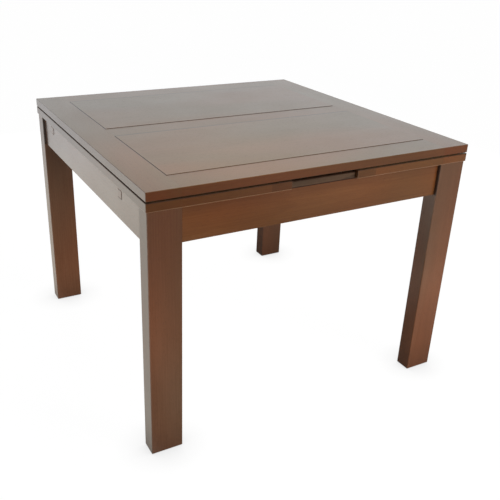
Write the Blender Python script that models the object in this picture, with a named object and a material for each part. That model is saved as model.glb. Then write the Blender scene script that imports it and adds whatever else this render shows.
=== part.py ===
"""Extending table with draw leaves, shown closed.

A loose framed top lies on a fixed centre board. Two leaves are stored under it, one at each end, and
slide out on wooden runners called lopers. The lopers run in notches of the end aprons and of one cross
rail. X is the drawing direction, the front is towards -Y, and the origin is on the floor under the
middle of the table. All sizes are in metres.
"""

import math

import bmesh
import bpy
from mathutils import Matrix, Vector

# Overall sizes
TABLE_LENGTH = 1.000
TABLE_WIDTH = 1.000
TABLE_HEIGHT = 0.761

# Clearances
SEAT_GAP = 0.0003
NOTCH_CLEARANCE = 0.0008
LEAF_END_CLEARANCE = 0.001
LEAF_FRAME_CLEARANCE = 0.001
PEG_CLEARANCE = 0.0008
HOLE_END_CLEARANCE = 0.002
CUT_OVERRUN = 0.005

# Top
TOP_FRAME_THICKNESS = 0.024
TOP_PANEL_PROUD = 0.001
TOP_LEAF_GAP = 0.0024
TOP_STILE_WIDTH = 0.090
TOP_RAIL_WIDTH = 0.090
TOP_CENTRE_RAIL_WIDTH = 0.080
BOARD_ARRIS = 0.0015
PANEL_CHAMFER = 0.0012
ARRIS_SEGMENTS = 3

# Tongues of the panels
TONGUE_LENGTH = 0.008
TONGUE_THICKNESS = 0.007

# Leaves and centre board
LEAF_THICKNESS = 0.024
CENTRE_BOARD_LENGTH = 0.206
CENTRE_BOARD_PROUD = 0.003
LEAF_OUTER_STILE_WIDTH = 0.090
LEAF_INNER_STILE_WIDTH = 0.060
LEAF_RAIL_WIDTH = 0.090
LEAF_OVERTRAVEL = 0.002

# Legs
LEG_LENGTH = 0.090
LEG_DEPTH = 0.050
LEG_INSET = 0.003
LEG_ARRIS = 0.002
LEG_FOOT_CHAMFER = 0.002

# Glides under the legs
GLIDE_RADIUS = 0.012
GLIDE_THICKNESS = 0.0015
GLIDE_RIM = 0.0005
GLIDE_NAIL_RADIUS = 0.0014
GLIDE_NAIL_LENGTH = 0.016

# Aprons and cross rail
APRON_HEIGHT = 0.095
APRON_THICKNESS = 0.022
END_APRON_RECESS = 0.0075
SIDE_APRON_RECESS = 0.010
CROSS_RAIL_THICKNESS = 0.022
CROSS_RAIL_HEIGHT = 0.080
HOUSING_DEPTH = 0.006

# Lopers and their stops
LOPER_WIDTH = 0.025
LOPER_DEPTH = 0.035
LOPER_PROUD = 0.0008
LOPER_PARED_DEPTH = 0.0012
LOPER_PARED_HEIGHT = 0.0125
LOPER_SPACING = 0.024
LOPER_BLOCK_GAP = 0.0115
LOPER_RELIEF = 0.0012
LOPER_RAMP = 0.012
LOPER_NOSE = 0.010
LOPER_ARRIS = 0.001
STOP_LENGTH = 0.020
STOP_DEPTH = 0.020
STOP_NOSE = 0.006

# Corner blocks and their bolts
BLOCK_PAST_LEG_LENGTHWAYS = 0.067
BLOCK_PAST_LEG_ACROSS = 0.077
BLOCK_LEG_CLEARANCE = 0.006
BLOCK_EDGE_MARGIN = 0.008
BOLT_RADIUS = 0.004
BOLT_IN_LEG = 0.040
BOLT_CHAMFER = 0.0008
BOLT_BEYOND_NUT = 0.003
BOLT_HOLE_CLEARANCE = 0.0004
NUT_ACROSS_FLATS = 0.013
NUT_HEIGHT = 0.0065
FLANGE_RADIUS = 0.009
FLANGE_THICKNESS = 0.0018
FLANGE_OVERLAP = 0.0004

# Screw holes
SCREW_HOLE_RADIUS = 0.0024
SCREW_POCKET_RADIUS = 0.0055
COUNTERSINK_RADIUS = 0.0046
LOPER_SCREW_COUNT = 3
LOPER_SCREW_END_MARGIN = 0.045
LOPER_POCKET_DEPTH = 0.012
BLOCK_SCREW_TIP_MARGIN = 0.022
BLOCK_SCREW_EDGE_MARGIN = 0.018
BLOCK_SCREW_GRIP = 0.010
BOARD_SCREW_EDGE_MARGIN = 0.040
BOARD_SCREW_FROM_MIDDLE = 0.180

# Pegs that locate the top
PEG_RADIUS = 0.010
PEG_SOCKET_DEPTH = 0.014
PEG_BELOW_TOP = 0.050
PEG_END_CHAMFER = 0.002

# Felt strips
CENTRE_FELT_THICKNESS = 0.0085
FELT_WIDTH = 0.015
FELT_EDGE_MARGIN = 0.012
FELT_END_MARGIN = 0.030

# Facets
ROUND_SIDES = 32
BOLT_SIDES = 16
SCREW_HOLE_SIDES = 12
HEXAGON_SIDES = 6
SMOOTH_BELOW_DEGREES = 40
ALIGNED_WITHIN_DEGREES = 8

# Levels above the floor
TOP_FRAME_FACE = TABLE_HEIGHT - TOP_PANEL_PROUD
TOP_UNDERSIDE = TOP_FRAME_FACE - TOP_FRAME_THICKNESS
LEAF_UPPER_FACE = TOP_UNDERSIDE - TOP_LEAF_GAP
LEAF_UNDERSIDE = LEAF_UPPER_FACE - LEAF_THICKNESS
FRAME_TOP = LEAF_UNDERSIDE - LEAF_FRAME_CLEARANCE
CENTRE_BOARD_UNDERSIDE = FRAME_TOP + SEAT_GAP
CENTRE_BOARD_UPPER_FACE = TOP_UNDERSIDE - CENTRE_FELT_THICKNESS - 2 * SEAT_GAP
CENTRE_BOARD_THICKNESS = CENTRE_BOARD_UPPER_FACE - CENTRE_BOARD_UNDERSIDE
APRON_UNDERSIDE = FRAME_TOP - APRON_HEIGHT
LEG_UNDERSIDE = GLIDE_THICKNESS + SEAT_GAP
LOPER_TOP = LEAF_UNDERSIDE - SEAT_GAP
LOPER_UNDERSIDE = LOPER_TOP - LOPER_DEPTH
NOTCH_FLOOR = LOPER_UNDERSIDE - SEAT_GAP

# Distances from the middle of the table, along X
HALF_LENGTH = TABLE_LENGTH / 2
LEAF_INNER_EDGE = CENTRE_BOARD_LENGTH / 2 + LEAF_END_CLEARANCE
LEAF_LENGTH = HALF_LENGTH - LEAF_INNER_EDGE
LEG_OUTER_X = HALF_LENGTH - LEG_INSET
LEG_INNER_X = LEG_OUTER_X - LEG_LENGTH
END_APRON_OUTER_X = LEG_OUTER_X - END_APRON_RECESS
END_APRON_INNER_X = END_APRON_OUTER_X - APRON_THICKNESS
LEAF_TRAVEL = LEAF_LENGTH + LEAF_OVERTRAVEL
STOP_FACE_X = CROSS_RAIL_THICKNESS / 2 + LEAF_TRAVEL + SEAT_GAP
LOPER_OUTER_X = END_APRON_OUTER_X + LOPER_PROUD
LOPER_LENGTH = LOPER_OUTER_X + STOP_FACE_X + STOP_LENGTH
PEG_X = (CROSS_RAIL_THICKNESS + CENTRE_BOARD_LENGTH) / 4

# Distances from the middle of the table, along Y
HALF_WIDTH = TABLE_WIDTH / 2
LEG_OUTER_Y = HALF_WIDTH - LEG_INSET
LEG_INNER_Y = LEG_OUTER_Y - LEG_DEPTH
SIDE_APRON_OUTER_Y = LEG_OUTER_Y - SIDE_APRON_RECESS
SIDE_APRON_INNER_Y = SIDE_APRON_OUTER_Y - APRON_THICKNESS
CENTRE_BOARD_END_Y = SIDE_APRON_OUTER_Y + CENTRE_BOARD_PROUD
OUTER_LOPER_Y = LEG_INNER_Y - BLOCK_PAST_LEG_ACROSS - LOPER_BLOCK_GAP - LOPER_WIDTH / 2
INNER_LOPER_Y = OUTER_LOPER_Y - LOPER_WIDTH - LOPER_SPACING

# Corner blocks from above, measured inwards from the inner faces of their aprons
BLOCK_NOTCH_LENGTHWAYS = END_APRON_INNER_X - LEG_INNER_X
BLOCK_NOTCH_ACROSS = SIDE_APRON_INNER_Y - LEG_INNER_Y
BLOCK_REACH_LENGTHWAYS = BLOCK_NOTCH_LENGTHWAYS + BLOCK_PAST_LEG_LENGTHWAYS
BLOCK_REACH_ACROSS = BLOCK_NOTCH_ACROSS + BLOCK_PAST_LEG_ACROSS

# Finishes: linear colour, roughness and metallic value
TOP_WOOD = ((0.165, 0.075, 0.042, 1.0), 0.30, 0.0)
FRAME_WOOD = ((0.145, 0.058, 0.031, 1.0), 0.34, 0.0)
INNER_WOOD = ((0.42, 0.27, 0.15, 1.0), 0.60, 0.0)
FELT = ((0.055, 0.035, 0.025, 1.0), 0.95, 0.0)
STEEL = ((0.58, 0.57, 0.55, 1.0), 0.35, 1.0)
GLIDE_PLASTIC = ((0.030, 0.025, 0.022, 1.0), 0.55, 0.0)

DIRECTIONS = {
    "-x": Vector((-1, 0, 0)),
    "+x": Vector((1, 0, 0)),
    "-y": Vector((0, -1, 0)),
    "+y": Vector((0, 1, 0)),
    "-z": Vector((0, 0, -1)),
    "+z": Vector((0, 0, 1)),
}
FLIPPED = {"-x": "+x", "+x": "-x", "-y": "+y", "+y": "-y", "-z": "-z", "+z": "+z"}


def clear_scene():
    """Remove every object, so that the model starts from nothing."""
    for obj in list(bpy.data.objects):
        bpy.data.objects.remove(obj, do_unlink=True)


def make_rig(name, location=(0, 0, 0)):
    """Add the empty that carries the pieces of one body."""
    rig = bpy.data.objects.new(name, None)
    rig.location = location
    bpy.context.scene.collection.objects.link(rig)
    return rig


def make_material(name, finish):
    """Add a Principled material with the colour, roughness and metallic value of a finish."""
    colour, roughness, metallic = finish
    material = bpy.data.materials.new(name)
    material.use_nodes = True
    shader = material.node_tree.nodes["Principled BSDF"]
    shader.inputs["Base Color"].default_value = colour
    shader.inputs["Roughness"].default_value = roughness
    shader.inputs["Metallic"].default_value = metallic
    material.diffuse_color = colour
    return material


def add_object(name, bm, centre, finish, rig, turn=0):
    """Turn a bmesh into an object that stands at centre, turned about Z, and rides on its rig."""
    bmesh.ops.recalc_face_normals(bm, faces=bm.faces)
    mesh = bpy.data.meshes.new(name)
    bm.to_mesh(mesh)
    bm.free()
    mesh.materials.append(make_material(name + "_finish", finish))
    obj = bpy.data.objects.new(name, mesh)
    bpy.context.scene.collection.objects.link(obj)
    obj.parent = rig
    obj.location = Vector(centre) - rig.location
    obj.rotation_euler = (0, 0, turn)
    return obj


def shade_round(mesh):
    """Shade the round faces of a mesh smooth and leave its sharp edges sharp."""
    mesh.shade_smooth()
    mesh.set_sharp_from_angle(angle=math.radians(SMOOTH_BELOW_DEGREES))


def add_cutter(name, bm, matrix):
    """Add a hidden cutting shape."""
    bmesh.ops.recalc_face_normals(bm, faces=bm.faces)
    mesh = bpy.data.meshes.new(name)
    bm.to_mesh(mesh)
    bm.free()
    cutter = bpy.data.objects.new(name, mesh)
    bpy.context.scene.collection.objects.link(cutter)
    cutter.matrix_world = matrix
    cutter.hide_render = True
    cutter.display_type = "WIRE"
    return cutter


def combine(obj, tool, operation="DIFFERENCE"):
    """Cut a hidden shape out of a piece, or join it on."""
    modifier = obj.modifiers.new(tool.name, "BOOLEAN")
    modifier.operation = operation
    modifier.solver = "EXACT"
    modifier.object = tool


def box_mesh(size):
    """Return a box of this size about its centre."""
    bm = bmesh.new()
    bmesh.ops.create_cube(bm, size=1)
    bmesh.ops.scale(bm, vec=size, verts=bm.verts)
    return bm


def cylinder_mesh(radius, length, sides):
    """Return a closed cylinder along Z about its centre."""
    bm = bmesh.new()
    bmesh.ops.create_cone(
        bm, cap_ends=True, segments=sides, radius1=radius, radius2=radius, depth=length
    )
    return bm


def outline_mesh(points, thickness):
    """Return the solid between an outline in XY and its copy raised by thickness."""
    bm = bmesh.new()
    face = bm.faces.new([bm.verts.new((x, y, 0)) for x, y in points])
    raised = bmesh.ops.extrude_face_region(bm, geom=[face])
    moved = [item for item in raised["geom"] if isinstance(item, bmesh.types.BMVert)]
    bmesh.ops.translate(bm, vec=(0, 0, thickness), verts=moved)
    bmesh.ops.recalc_face_normals(bm, faces=bm.faces)
    return bm


def round_edges(bm, edges, radius, segments=ARRIS_SEGMENTS):
    """Round these edges to a radius, or chamfer them with one segment."""
    bmesh.ops.bevel(
        bm,
        geom=edges,
        offset=radius,
        offset_type="OFFSET",
        segments=segments,
        profile=0.5,
        affect="EDGES",
        clamp_overlap=True,
    )


def faces_towards(bm, sides):
    """Return the faces that look towards one of these sides."""
    bm.normal_update()
    limit = math.radians(ALIGNED_WITHIN_DEGREES)
    return [
        face
        for face in bm.faces
        if any(face.normal.angle(DIRECTIONS[side]) < limit for side in sides)
    ]


def edges_between(bm, sides):
    """Return the edges whose faces all look towards one of these sides."""
    outer = set(faces_towards(bm, sides))
    return [edge for edge in bm.edges if outer.issuperset(edge.link_faces)]


def rims_of(bm, sides):
    """Return the edges around the faces that look towards one of these sides."""
    return [edge for face in faces_towards(bm, sides) for edge in face.edges]


def size_and_centre(low, high):
    """Return the size and the centre of the box between two corners."""
    size = [b - a for a, b in zip(low, high)]
    centre = [(a + b) / 2 for a, b in zip(low, high)]
    return size, centre


def add_board(name, low, high, exposed, finish, rig, arris=BOARD_ARRIS):
    """Add a plain board between two corners, its edges rounded where both faces are exposed."""
    size, centre = size_and_centre(low, high)
    bm = box_mesh(size)
    if exposed:
        round_edges(bm, edges_between(bm, exposed), arris)
    return add_object(name, bm, centre, finish, rig)


def combine_box(obj, name, low, high, operation="DIFFERENCE"):
    """Cut the box between two corners out of a piece, or join it on."""
    size, centre = size_and_centre(low, high)
    combine(obj, add_cutter(name, box_mesh(size), Matrix.Translation(centre)), operation)


def along(start, direction):
    """Return the matrix that puts the Z axis on a direction, at start."""
    turn = direction.to_track_quat("Z", "Y").to_matrix().to_4x4()
    return Matrix.Translation(start) @ turn


def cut_bore(obj, name, start, direction, radius, length, sides=ROUND_SIDES):
    """Cut a round hole that starts at a point and runs a length along a direction."""
    middle = Vector(start) + direction * (length / 2)
    combine(obj, add_cutter(name, cylinder_mesh(radius, length, sides), along(middle, direction)))


def cut_pocket_hole(obj, name, seat, way_out, grip, pocket_length):
    """Cut a screw hole: its head's pocket runs from the seat on its way out, its shank's the other way."""
    seat = Vector(seat)
    shank_start = seat + way_out * CUT_OVERRUN
    shank_length = grip + 2 * CUT_OVERRUN
    shank_name = name + "_shank"
    cut_bore(
        obj, shank_name, shank_start, -way_out, SCREW_HOLE_RADIUS, shank_length, SCREW_HOLE_SIDES
    )
    cut_bore(obj, name, seat, way_out, SCREW_POCKET_RADIUS, pocket_length, BOLT_SIDES)


def cut_countersunk_hole(obj, name, mouth, length):
    """Cut a vertical screw hole through a board, with a mouth at a right angle that opens upwards."""
    start = Vector(mouth) + DIRECTIONS["+z"] * CUT_OVERRUN
    whole = length + 2 * CUT_OVERRUN
    cut_bore(obj, name, start, DIRECTIONS["-z"], SCREW_HOLE_RADIUS, whole, SCREW_HOLE_SIDES)
    depth = COUNTERSINK_RADIUS - SCREW_HOLE_RADIUS
    bm = bmesh.new()
    bmesh.ops.create_cone(
        bm,
        cap_ends=True,
        segments=BOLT_SIDES,
        radius1=SCREW_HOLE_RADIUS,
        radius2=COUNTERSINK_RADIUS + depth,
        depth=2 * depth,
    )
    combine(obj, add_cutter(name + "_mouth", bm, Matrix.Translation(mouth)))


def add_panel(name, low, high, finish, rig):
    """Add a panel with chamfered upper edges and a tongue all round, which the frame's grooves hold."""
    size, centre = size_and_centre(low, high)
    bm = box_mesh(size)
    round_edges(bm, rims_of(bm, {"+z"}), PANEL_CHAMFER, segments=1)
    panel = add_object(name, bm, centre, finish, rig)
    middle = centre[2]
    combine_box(
        panel,
        name + "_tongue",
        (low[0] - TONGUE_LENGTH, low[1] - TONGUE_LENGTH, middle - TONGUE_THICKNESS / 2),
        (high[0] + TONGUE_LENGTH, high[1] + TONGUE_LENGTH, middle + TONGUE_THICKNESS / 2),
        "UNION",
    )


def groove_frame(pieces, name, low, high):
    """Cut the groove for a panel's tongue out of the pieces around it."""
    reach = TONGUE_LENGTH + SEAT_GAP
    middle = (low[2] + high[2]) / 2
    half = TONGUE_THICKNESS / 2 + SEAT_GAP
    size = (high[0] - low[0] + 2 * reach, high[1] - low[1] + 2 * reach, 2 * half)
    centre = ((low[0] + high[0]) / 2, (low[1] + high[1]) / 2, middle)
    groove = add_cutter(name, box_mesh(size), Matrix.Translation(centre))
    for piece in pieces:
        combine(piece, groove)


def build_top(rig):
    """Build the loose top: two stiles, three rails and two panels, with the pegs that locate it.

    The panels stand a little proud of the frame.
    """
    low_z = TOP_UNDERSIDE
    high_z = TOP_FRAME_FACE
    inner_x = HALF_LENGTH - TOP_STILE_WIDTH
    inner_y = HALF_WIDTH - TOP_RAIL_WIDTH
    stiles = []
    for side, label in ((-1, "left"), (1, "right")):
        outward = "-x" if side < 0 else "+x"
        edges = sorted((side * inner_x, side * HALF_LENGTH))
        stile = add_board(
            "top_stile_" + label,
            (edges[0], -HALF_WIDTH, low_z),
            (edges[1], HALF_WIDTH, high_z),
            {outward, "-y", "+y", "-z", "+z"},
            TOP_WOOD,
            rig,
        )
        stiles.append(stile)
    rail_x = inner_x - SEAT_GAP
    rails = {}
    for side, label in ((-1, "front"), (1, "back")):
        outward = "-y" if side < 0 else "+y"
        edges = sorted((side * inner_y, side * HALF_WIDTH))
        rails[label] = add_board(
            "top_rail_" + label,
            (-rail_x, edges[0], low_z),
            (rail_x, edges[1], high_z),
            {outward, "-z", "+z"},
            TOP_WOOD,
            rig,
        )
    half_centre = TOP_CENTRE_RAIL_WIDTH / 2
    centre_rail = add_board(
        "top_rail_centre",
        (-rail_x, -half_centre, low_z),
        (rail_x, half_centre, high_z),
        set(),
        TOP_WOOD,
        rig,
    )
    panel_x = rail_x
    for side, label in ((-1, "front"), (1, "back")):
        edges = sorted((side * (half_centre + SEAT_GAP), side * (inner_y - SEAT_GAP)))
        low = (-panel_x, edges[0], low_z)
        high = (panel_x, edges[1], TABLE_HEIGHT)
        add_panel("top_panel_" + label, low, high, TOP_WOOD, rig)
        groove_frame(stiles + [rails[label], centre_rail], "top_groove_" + label, low, high)
    build_pegs(rig, centre_rail)
    build_top_felt(rig)


def build_pegs(rig, centre_rail):
    """Build the two pegs under the top and their sockets."""
    top_z = TOP_UNDERSIDE + PEG_SOCKET_DEPTH - SEAT_GAP
    bottom_z = TOP_UNDERSIDE - PEG_BELOW_TOP
    for side, label in ((-1, "left"), (1, "right")):
        bm = cylinder_mesh(PEG_RADIUS, top_z - bottom_z, ROUND_SIDES)
        round_edges(bm, rims_of(bm, {"-z", "+z"}), PEG_END_CHAMFER, segments=1)
        centre = (side * PEG_X, 0, (top_z + bottom_z) / 2)
        peg = add_object("top_peg_" + label, bm, centre, INNER_WOOD, rig)
        shade_round(peg.data)
        cut_bore(
            centre_rail,
            "socket_" + label,
            (side * PEG_X, 0, TOP_UNDERSIDE - CUT_OVERRUN),
            DIRECTIONS["+z"],
            PEG_RADIUS + SEAT_GAP,
            PEG_SOCKET_DEPTH + CUT_OVERRUN,
        )


def build_top_felt(rig):
    """Build the felt strips that keep the top off the leaves."""
    reach = HALF_WIDTH - FELT_END_MARGIN
    for side, label in ((-1, "left"), (1, "right")):
        outer = HALF_LENGTH - FELT_EDGE_MARGIN
        edges = sorted((side * outer, side * (outer - FELT_WIDTH)))
        add_board(
            "felt_strip_" + label,
            (edges[0], -reach, LEAF_UPPER_FACE + SEAT_GAP),
            (edges[1], reach, TOP_UNDERSIDE - SEAT_GAP),
            set(),
            FELT,
            rig,
        )


def facing(side, *directions):
    """Return these directions as seen after half a turn about Z where side is positive."""
    return {FLIPPED[d] if side > 0 else d for d in directions}


def turned(side, low, high):
    """Return the two corners after half a turn about Z where side is positive."""
    if side < 0:
        return low, high
    return (-high[0], -high[1], low[2]), (-low[0], -low[1], high[2])


def build_leaf(rig, side, label):
    """Build one leaf. It is drawn for the left end, and the right one is the same leaf after half a turn."""
    outer = -HALF_LENGTH
    inner = -LEAF_INNER_EDGE
    panel_low_x = outer + LEAF_OUTER_STILE_WIDTH + SEAT_GAP
    panel_high_x = inner - LEAF_INNER_STILE_WIDTH - SEAT_GAP
    inner_y = HALF_WIDTH - LEAF_RAIL_WIDTH
    low_z = LEAF_UNDERSIDE
    high_z = LEAF_UPPER_FACE
    front, back = ("front", "back") if side < 0 else ("back", "front")

    def board(name, low, high, exposed):
        low, high = turned(side, low, high)
        return add_board(f"{label}_leaf_{name}", low, high, facing(side, *exposed), TOP_WOOD, rig)

    stiles = [
        board(
            "outer_stile",
            (outer, -HALF_WIDTH, low_z),
            (outer + LEAF_OUTER_STILE_WIDTH, HALF_WIDTH, high_z),
            ("-x", "-y", "+y", "-z", "+z"),
        ),
        board(
            "inner_stile",
            (inner - LEAF_INNER_STILE_WIDTH, -HALF_WIDTH, low_z),
            (inner, HALF_WIDTH, high_z),
            ("+x", "-y", "+y", "-z", "+z"),
        ),
    ]
    rails = [
        board(
            front + "_rail",
            (panel_low_x, -HALF_WIDTH, low_z),
            (panel_high_x, -inner_y, high_z),
            ("-y", "-z", "+z"),
        ),
        board(
            back + "_rail",
            (panel_low_x, inner_y, low_z),
            (panel_high_x, HALF_WIDTH, high_z),
            ("+y", "-z", "+z"),
        ),
    ]
    low, high = turned(
        side,
        (panel_low_x, -inner_y + SEAT_GAP, low_z),
        (panel_high_x, inner_y - SEAT_GAP, high_z),
    )
    add_panel(f"{label}_leaf_panel", low, high, TOP_WOOD, rig)
    groove_frame(stiles + rails, f"{label}_leaf_groove", low, high)
    build_loper(rig, side, f"{label}_leaf_{front}", -INNER_LOPER_Y)
    build_loper(rig, side, f"{label}_leaf_{back}", OUTER_LOPER_Y)


def loper_outline():
    """Return the side view of a loper: its outer end at X 0, its seat under the leaf at Z 0.

    The upper part of the outer end is pared back, so that only the lower part stands proud.
    """
    seat = LOPER_OUTER_X - LEAF_INNER_EDGE
    return [
        (0, -LOPER_DEPTH),
        (LOPER_LENGTH, -LOPER_DEPTH),
        (LOPER_LENGTH, -LOPER_RELIEF - LOPER_NOSE),
        (LOPER_LENGTH - LOPER_NOSE, -LOPER_RELIEF),
        (seat, -LOPER_RELIEF),
        (seat - LOPER_RAMP, 0),
        (LOPER_PARED_DEPTH, 0),
        (LOPER_PARED_DEPTH, -LOPER_PARED_HEIGHT),
        (0, -LOPER_PARED_HEIGHT - LOPER_PARED_DEPTH),
    ]


def stop_outline():
    """Return the side view of a stop: its striking face at X 0, its seat under the loper at Z 0."""
    return [
        (0, -STOP_DEPTH),
        (STOP_LENGTH - STOP_NOSE, -STOP_DEPTH),
        (STOP_LENGTH, -STOP_DEPTH + STOP_NOSE),
        (STOP_LENGTH, 0),
        (0, 0),
    ]


def side_view_mesh(points, width):
    """Return the solid of a side view in XZ, its width centred on Y."""
    bm = outline_mesh(points, width)
    upright = Matrix.Rotation(math.radians(90), 4, "X")
    bmesh.ops.transform(bm, matrix=upright, verts=bm.verts)
    bmesh.ops.translate(bm, vec=(0, width / 2, 0), verts=bm.verts)
    return bm


def loper_screw_distances():
    """Return how far each screw that holds a loper to its leaf is from the loper's outer end."""
    first = LOPER_SCREW_END_MARGIN
    last = LOPER_OUTER_X - LEAF_INNER_EDGE - LOPER_RAMP - LOPER_SCREW_END_MARGIN
    step = (last - first) / (LOPER_SCREW_COUNT - 1)
    return [first + step * number for number in range(LOPER_SCREW_COUNT)]


def build_loper(rig, side, label, across):
    """Build one loper with the stop under its inner end. across is its place along Y on the left leaf."""
    turn = math.pi if side > 0 else 0
    sign = -1 if side > 0 else 1
    bm = side_view_mesh(loper_outline(), LOPER_WIDTH)
    round_edges(bm, edges_between(bm, {"-y", "+y", "-z", "+z"}), LOPER_ARRIS, segments=1)
    place = (-sign * LOPER_OUTER_X, sign * across, LOPER_TOP)
    loper = add_object(label + "_loper", bm, place, FRAME_WOOD, rig, turn)
    for number, distance in enumerate(loper_screw_distances(), 1):
        cut_pocket_hole(
            loper,
            f"{label}_loper_screw_{number}",
            (sign * (distance - LOPER_OUTER_X), sign * across, LOPER_UNDERSIDE + LOPER_POCKET_DEPTH),
            DIRECTIONS["-z"],
            LOPER_DEPTH - LOPER_POCKET_DEPTH,
            LOPER_POCKET_DEPTH + CUT_OVERRUN,
        )
    stop = side_view_mesh(stop_outline(), LOPER_WIDTH)
    place = (sign * STOP_FACE_X, sign * across, LOPER_UNDERSIDE - SEAT_GAP)
    add_object(label + "_loper_stop", stop, place, INNER_WOOD, rig, turn)


def loper_lines(side):
    """Return the Y of the two lopers that pass through the apron at this end."""
    sign = -1 if side > 0 else 1
    return [-sign * INNER_LOPER_Y, sign * OUTER_LOPER_Y]


def cut_notches(obj, name, low_x, high_x, lines):
    """Cut the notches that the lopers run in, open at the upper edge."""
    half = LOPER_WIDTH / 2 + NOTCH_CLEARANCE
    for number, line in enumerate(lines, 1):
        combine_box(
            obj,
            f"{name}_notch_{number}",
            (low_x - CUT_OVERRUN, line - half, NOTCH_FLOOR),
            (high_x + CUT_OVERRUN, line + half, FRAME_TOP + CUT_OVERRUN),
        )


def build_end_aprons(rig):
    """Build the two aprons that the lopers pass through."""
    reach = LEG_INNER_Y - SEAT_GAP
    for side, label in ((-1, "left"), (1, "right")):
        edges = sorted((side * END_APRON_OUTER_X, side * END_APRON_INNER_X))
        apron = add_board(
            "apron_" + label,
            (edges[0], -reach, APRON_UNDERSIDE),
            (edges[1], reach, FRAME_TOP),
            {"-x", "+x", "-z", "+z"},
            FRAME_WOOD,
            rig,
        )
        cut_notches(apron, "apron_" + label, edges[0], edges[1], loper_lines(side))


def build_side_aprons(rig):
    """Build the front and back aprons, each housed for the cross rail."""
    reach = LEG_INNER_X - SEAT_GAP
    half = CROSS_RAIL_THICKNESS / 2 + SEAT_GAP
    for side, label in ((-1, "front"), (1, "back")):
        edges = sorted((side * SIDE_APRON_OUTER_Y, side * SIDE_APRON_INNER_Y))
        apron = add_board(
            "apron_" + label,
            (-reach, edges[0], APRON_UNDERSIDE),
            (reach, edges[1], FRAME_TOP),
            {"-y", "+y", "-z", "+z"},
            FRAME_WOOD,
            rig,
        )
        housing = sorted(
            (side * (SIDE_APRON_INNER_Y + HOUSING_DEPTH), side * (SIDE_APRON_INNER_Y - CUT_OVERRUN))
        )
        combine_box(
            apron,
            "housing_" + label,
            (-half, housing[0], FRAME_TOP - CROSS_RAIL_HEIGHT - SEAT_GAP),
            (half, housing[1], FRAME_TOP + CUT_OVERRUN),
        )


def build_cross_rail(rig):
    """Build the notched rail under the centre board, which guides the inner ends of the lopers."""
    half = CROSS_RAIL_THICKNESS / 2
    reach = SIDE_APRON_INNER_Y + HOUSING_DEPTH - SEAT_GAP
    rail = add_board(
        "cross_rail",
        (-half, -reach, FRAME_TOP - CROSS_RAIL_HEIGHT),
        (half, reach, FRAME_TOP),
        {"-x", "+x", "-z"},
        INNER_WOOD,
        rig,
    )
    cut_notches(rail, "cross_rail", -half, half, loper_lines(-1) + loper_lines(1))


def board_screw_places():
    """Return where the screws go down through the centre board, into the side aprons and the cross rail."""
    over_aprons = (SIDE_APRON_OUTER_Y + SIDE_APRON_INNER_Y) / 2
    apart = CENTRE_BOARD_LENGTH / 2 - BOARD_SCREW_EDGE_MARGIN
    corners = [(x, y) for x in (-apart, apart) for y in (-over_aprons, over_aprons)]
    middle = [(0, -BOARD_SCREW_FROM_MIDDLE), (0, BOARD_SCREW_FROM_MIDDLE)]
    return corners + middle


def build_centre_board(rig):
    """Build the fixed board between the leaves, bored for the pegs, with the felt that the top lies on."""
    half = CENTRE_BOARD_LENGTH / 2
    board = add_board(
        "centre_board",
        (-half, -CENTRE_BOARD_END_Y, CENTRE_BOARD_UNDERSIDE),
        (half, CENTRE_BOARD_END_Y, CENTRE_BOARD_UPPER_FACE),
        {"-x", "+x", "-y", "+y", "-z", "+z"},
        FRAME_WOOD,
        rig,
    )
    for side, label in ((-1, "left"), (1, "right")):
        cut_bore(
            board,
            "peg_hole_" + label,
            (side * PEG_X, 0, CENTRE_BOARD_UNDERSIDE - CUT_OVERRUN),
            DIRECTIONS["+z"],
            PEG_RADIUS + PEG_CLEARANCE,
            CENTRE_BOARD_THICKNESS + 2 * CUT_OVERRUN,
        )
    for number, (x, y) in enumerate(board_screw_places(), 1):
        mouth = (x, y, CENTRE_BOARD_UPPER_FACE)
        cut_countersunk_hole(board, f"board_screw_{number}", mouth, CENTRE_BOARD_THICKNESS)
    reach = SIDE_APRON_OUTER_Y - FELT_END_MARGIN
    clear_of_pegs = (PEG_X + PEG_RADIUS + PEG_CLEARANCE + half) / 2
    for side, label in ((-1, "left"), (1, "right")):
        middle = side * clear_of_pegs
        add_board(
            "centre_felt_strip_" + label,
            (middle - FELT_WIDTH / 2, -reach, CENTRE_BOARD_UPPER_FACE + SEAT_GAP),
            (middle + FELT_WIDTH / 2, reach, TOP_UNDERSIDE - SEAT_GAP),
            set(),
            FELT,
            rig,
        )


def block_outline():
    """Return a corner block from above, measured inwards from the inner faces of the two aprons."""
    leg_x = BLOCK_NOTCH_LENGTHWAYS + BLOCK_LEG_CLEARANCE
    leg_y = BLOCK_NOTCH_ACROSS + BLOCK_LEG_CLEARANCE
    return [
        (SEAT_GAP, leg_y),
        (SEAT_GAP, BLOCK_REACH_ACROSS),
        (BLOCK_REACH_LENGTHWAYS, SEAT_GAP),
        (leg_x, SEAT_GAP),
        (leg_x, leg_y),
    ]


def bolt_line():
    """Return where a bolt leaves the leg and where it leaves the block, measured like the block.

    The bolt runs square to the block's long face, through the inner corner of the leg.
    """
    start = Vector((BLOCK_NOTCH_LENGTHWAYS, BLOCK_NOTCH_ACROSS))
    direction = Vector((BLOCK_REACH_ACROSS, BLOCK_REACH_LENGTHWAYS)).normalized()
    uncovered = 1 - start.x / BLOCK_REACH_LENGTHWAYS - start.y / BLOCK_REACH_ACROSS
    rate = direction.x / BLOCK_REACH_LENGTHWAYS + direction.y / BLOCK_REACH_ACROSS
    return start, start + direction * (uncovered / rate)


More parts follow.
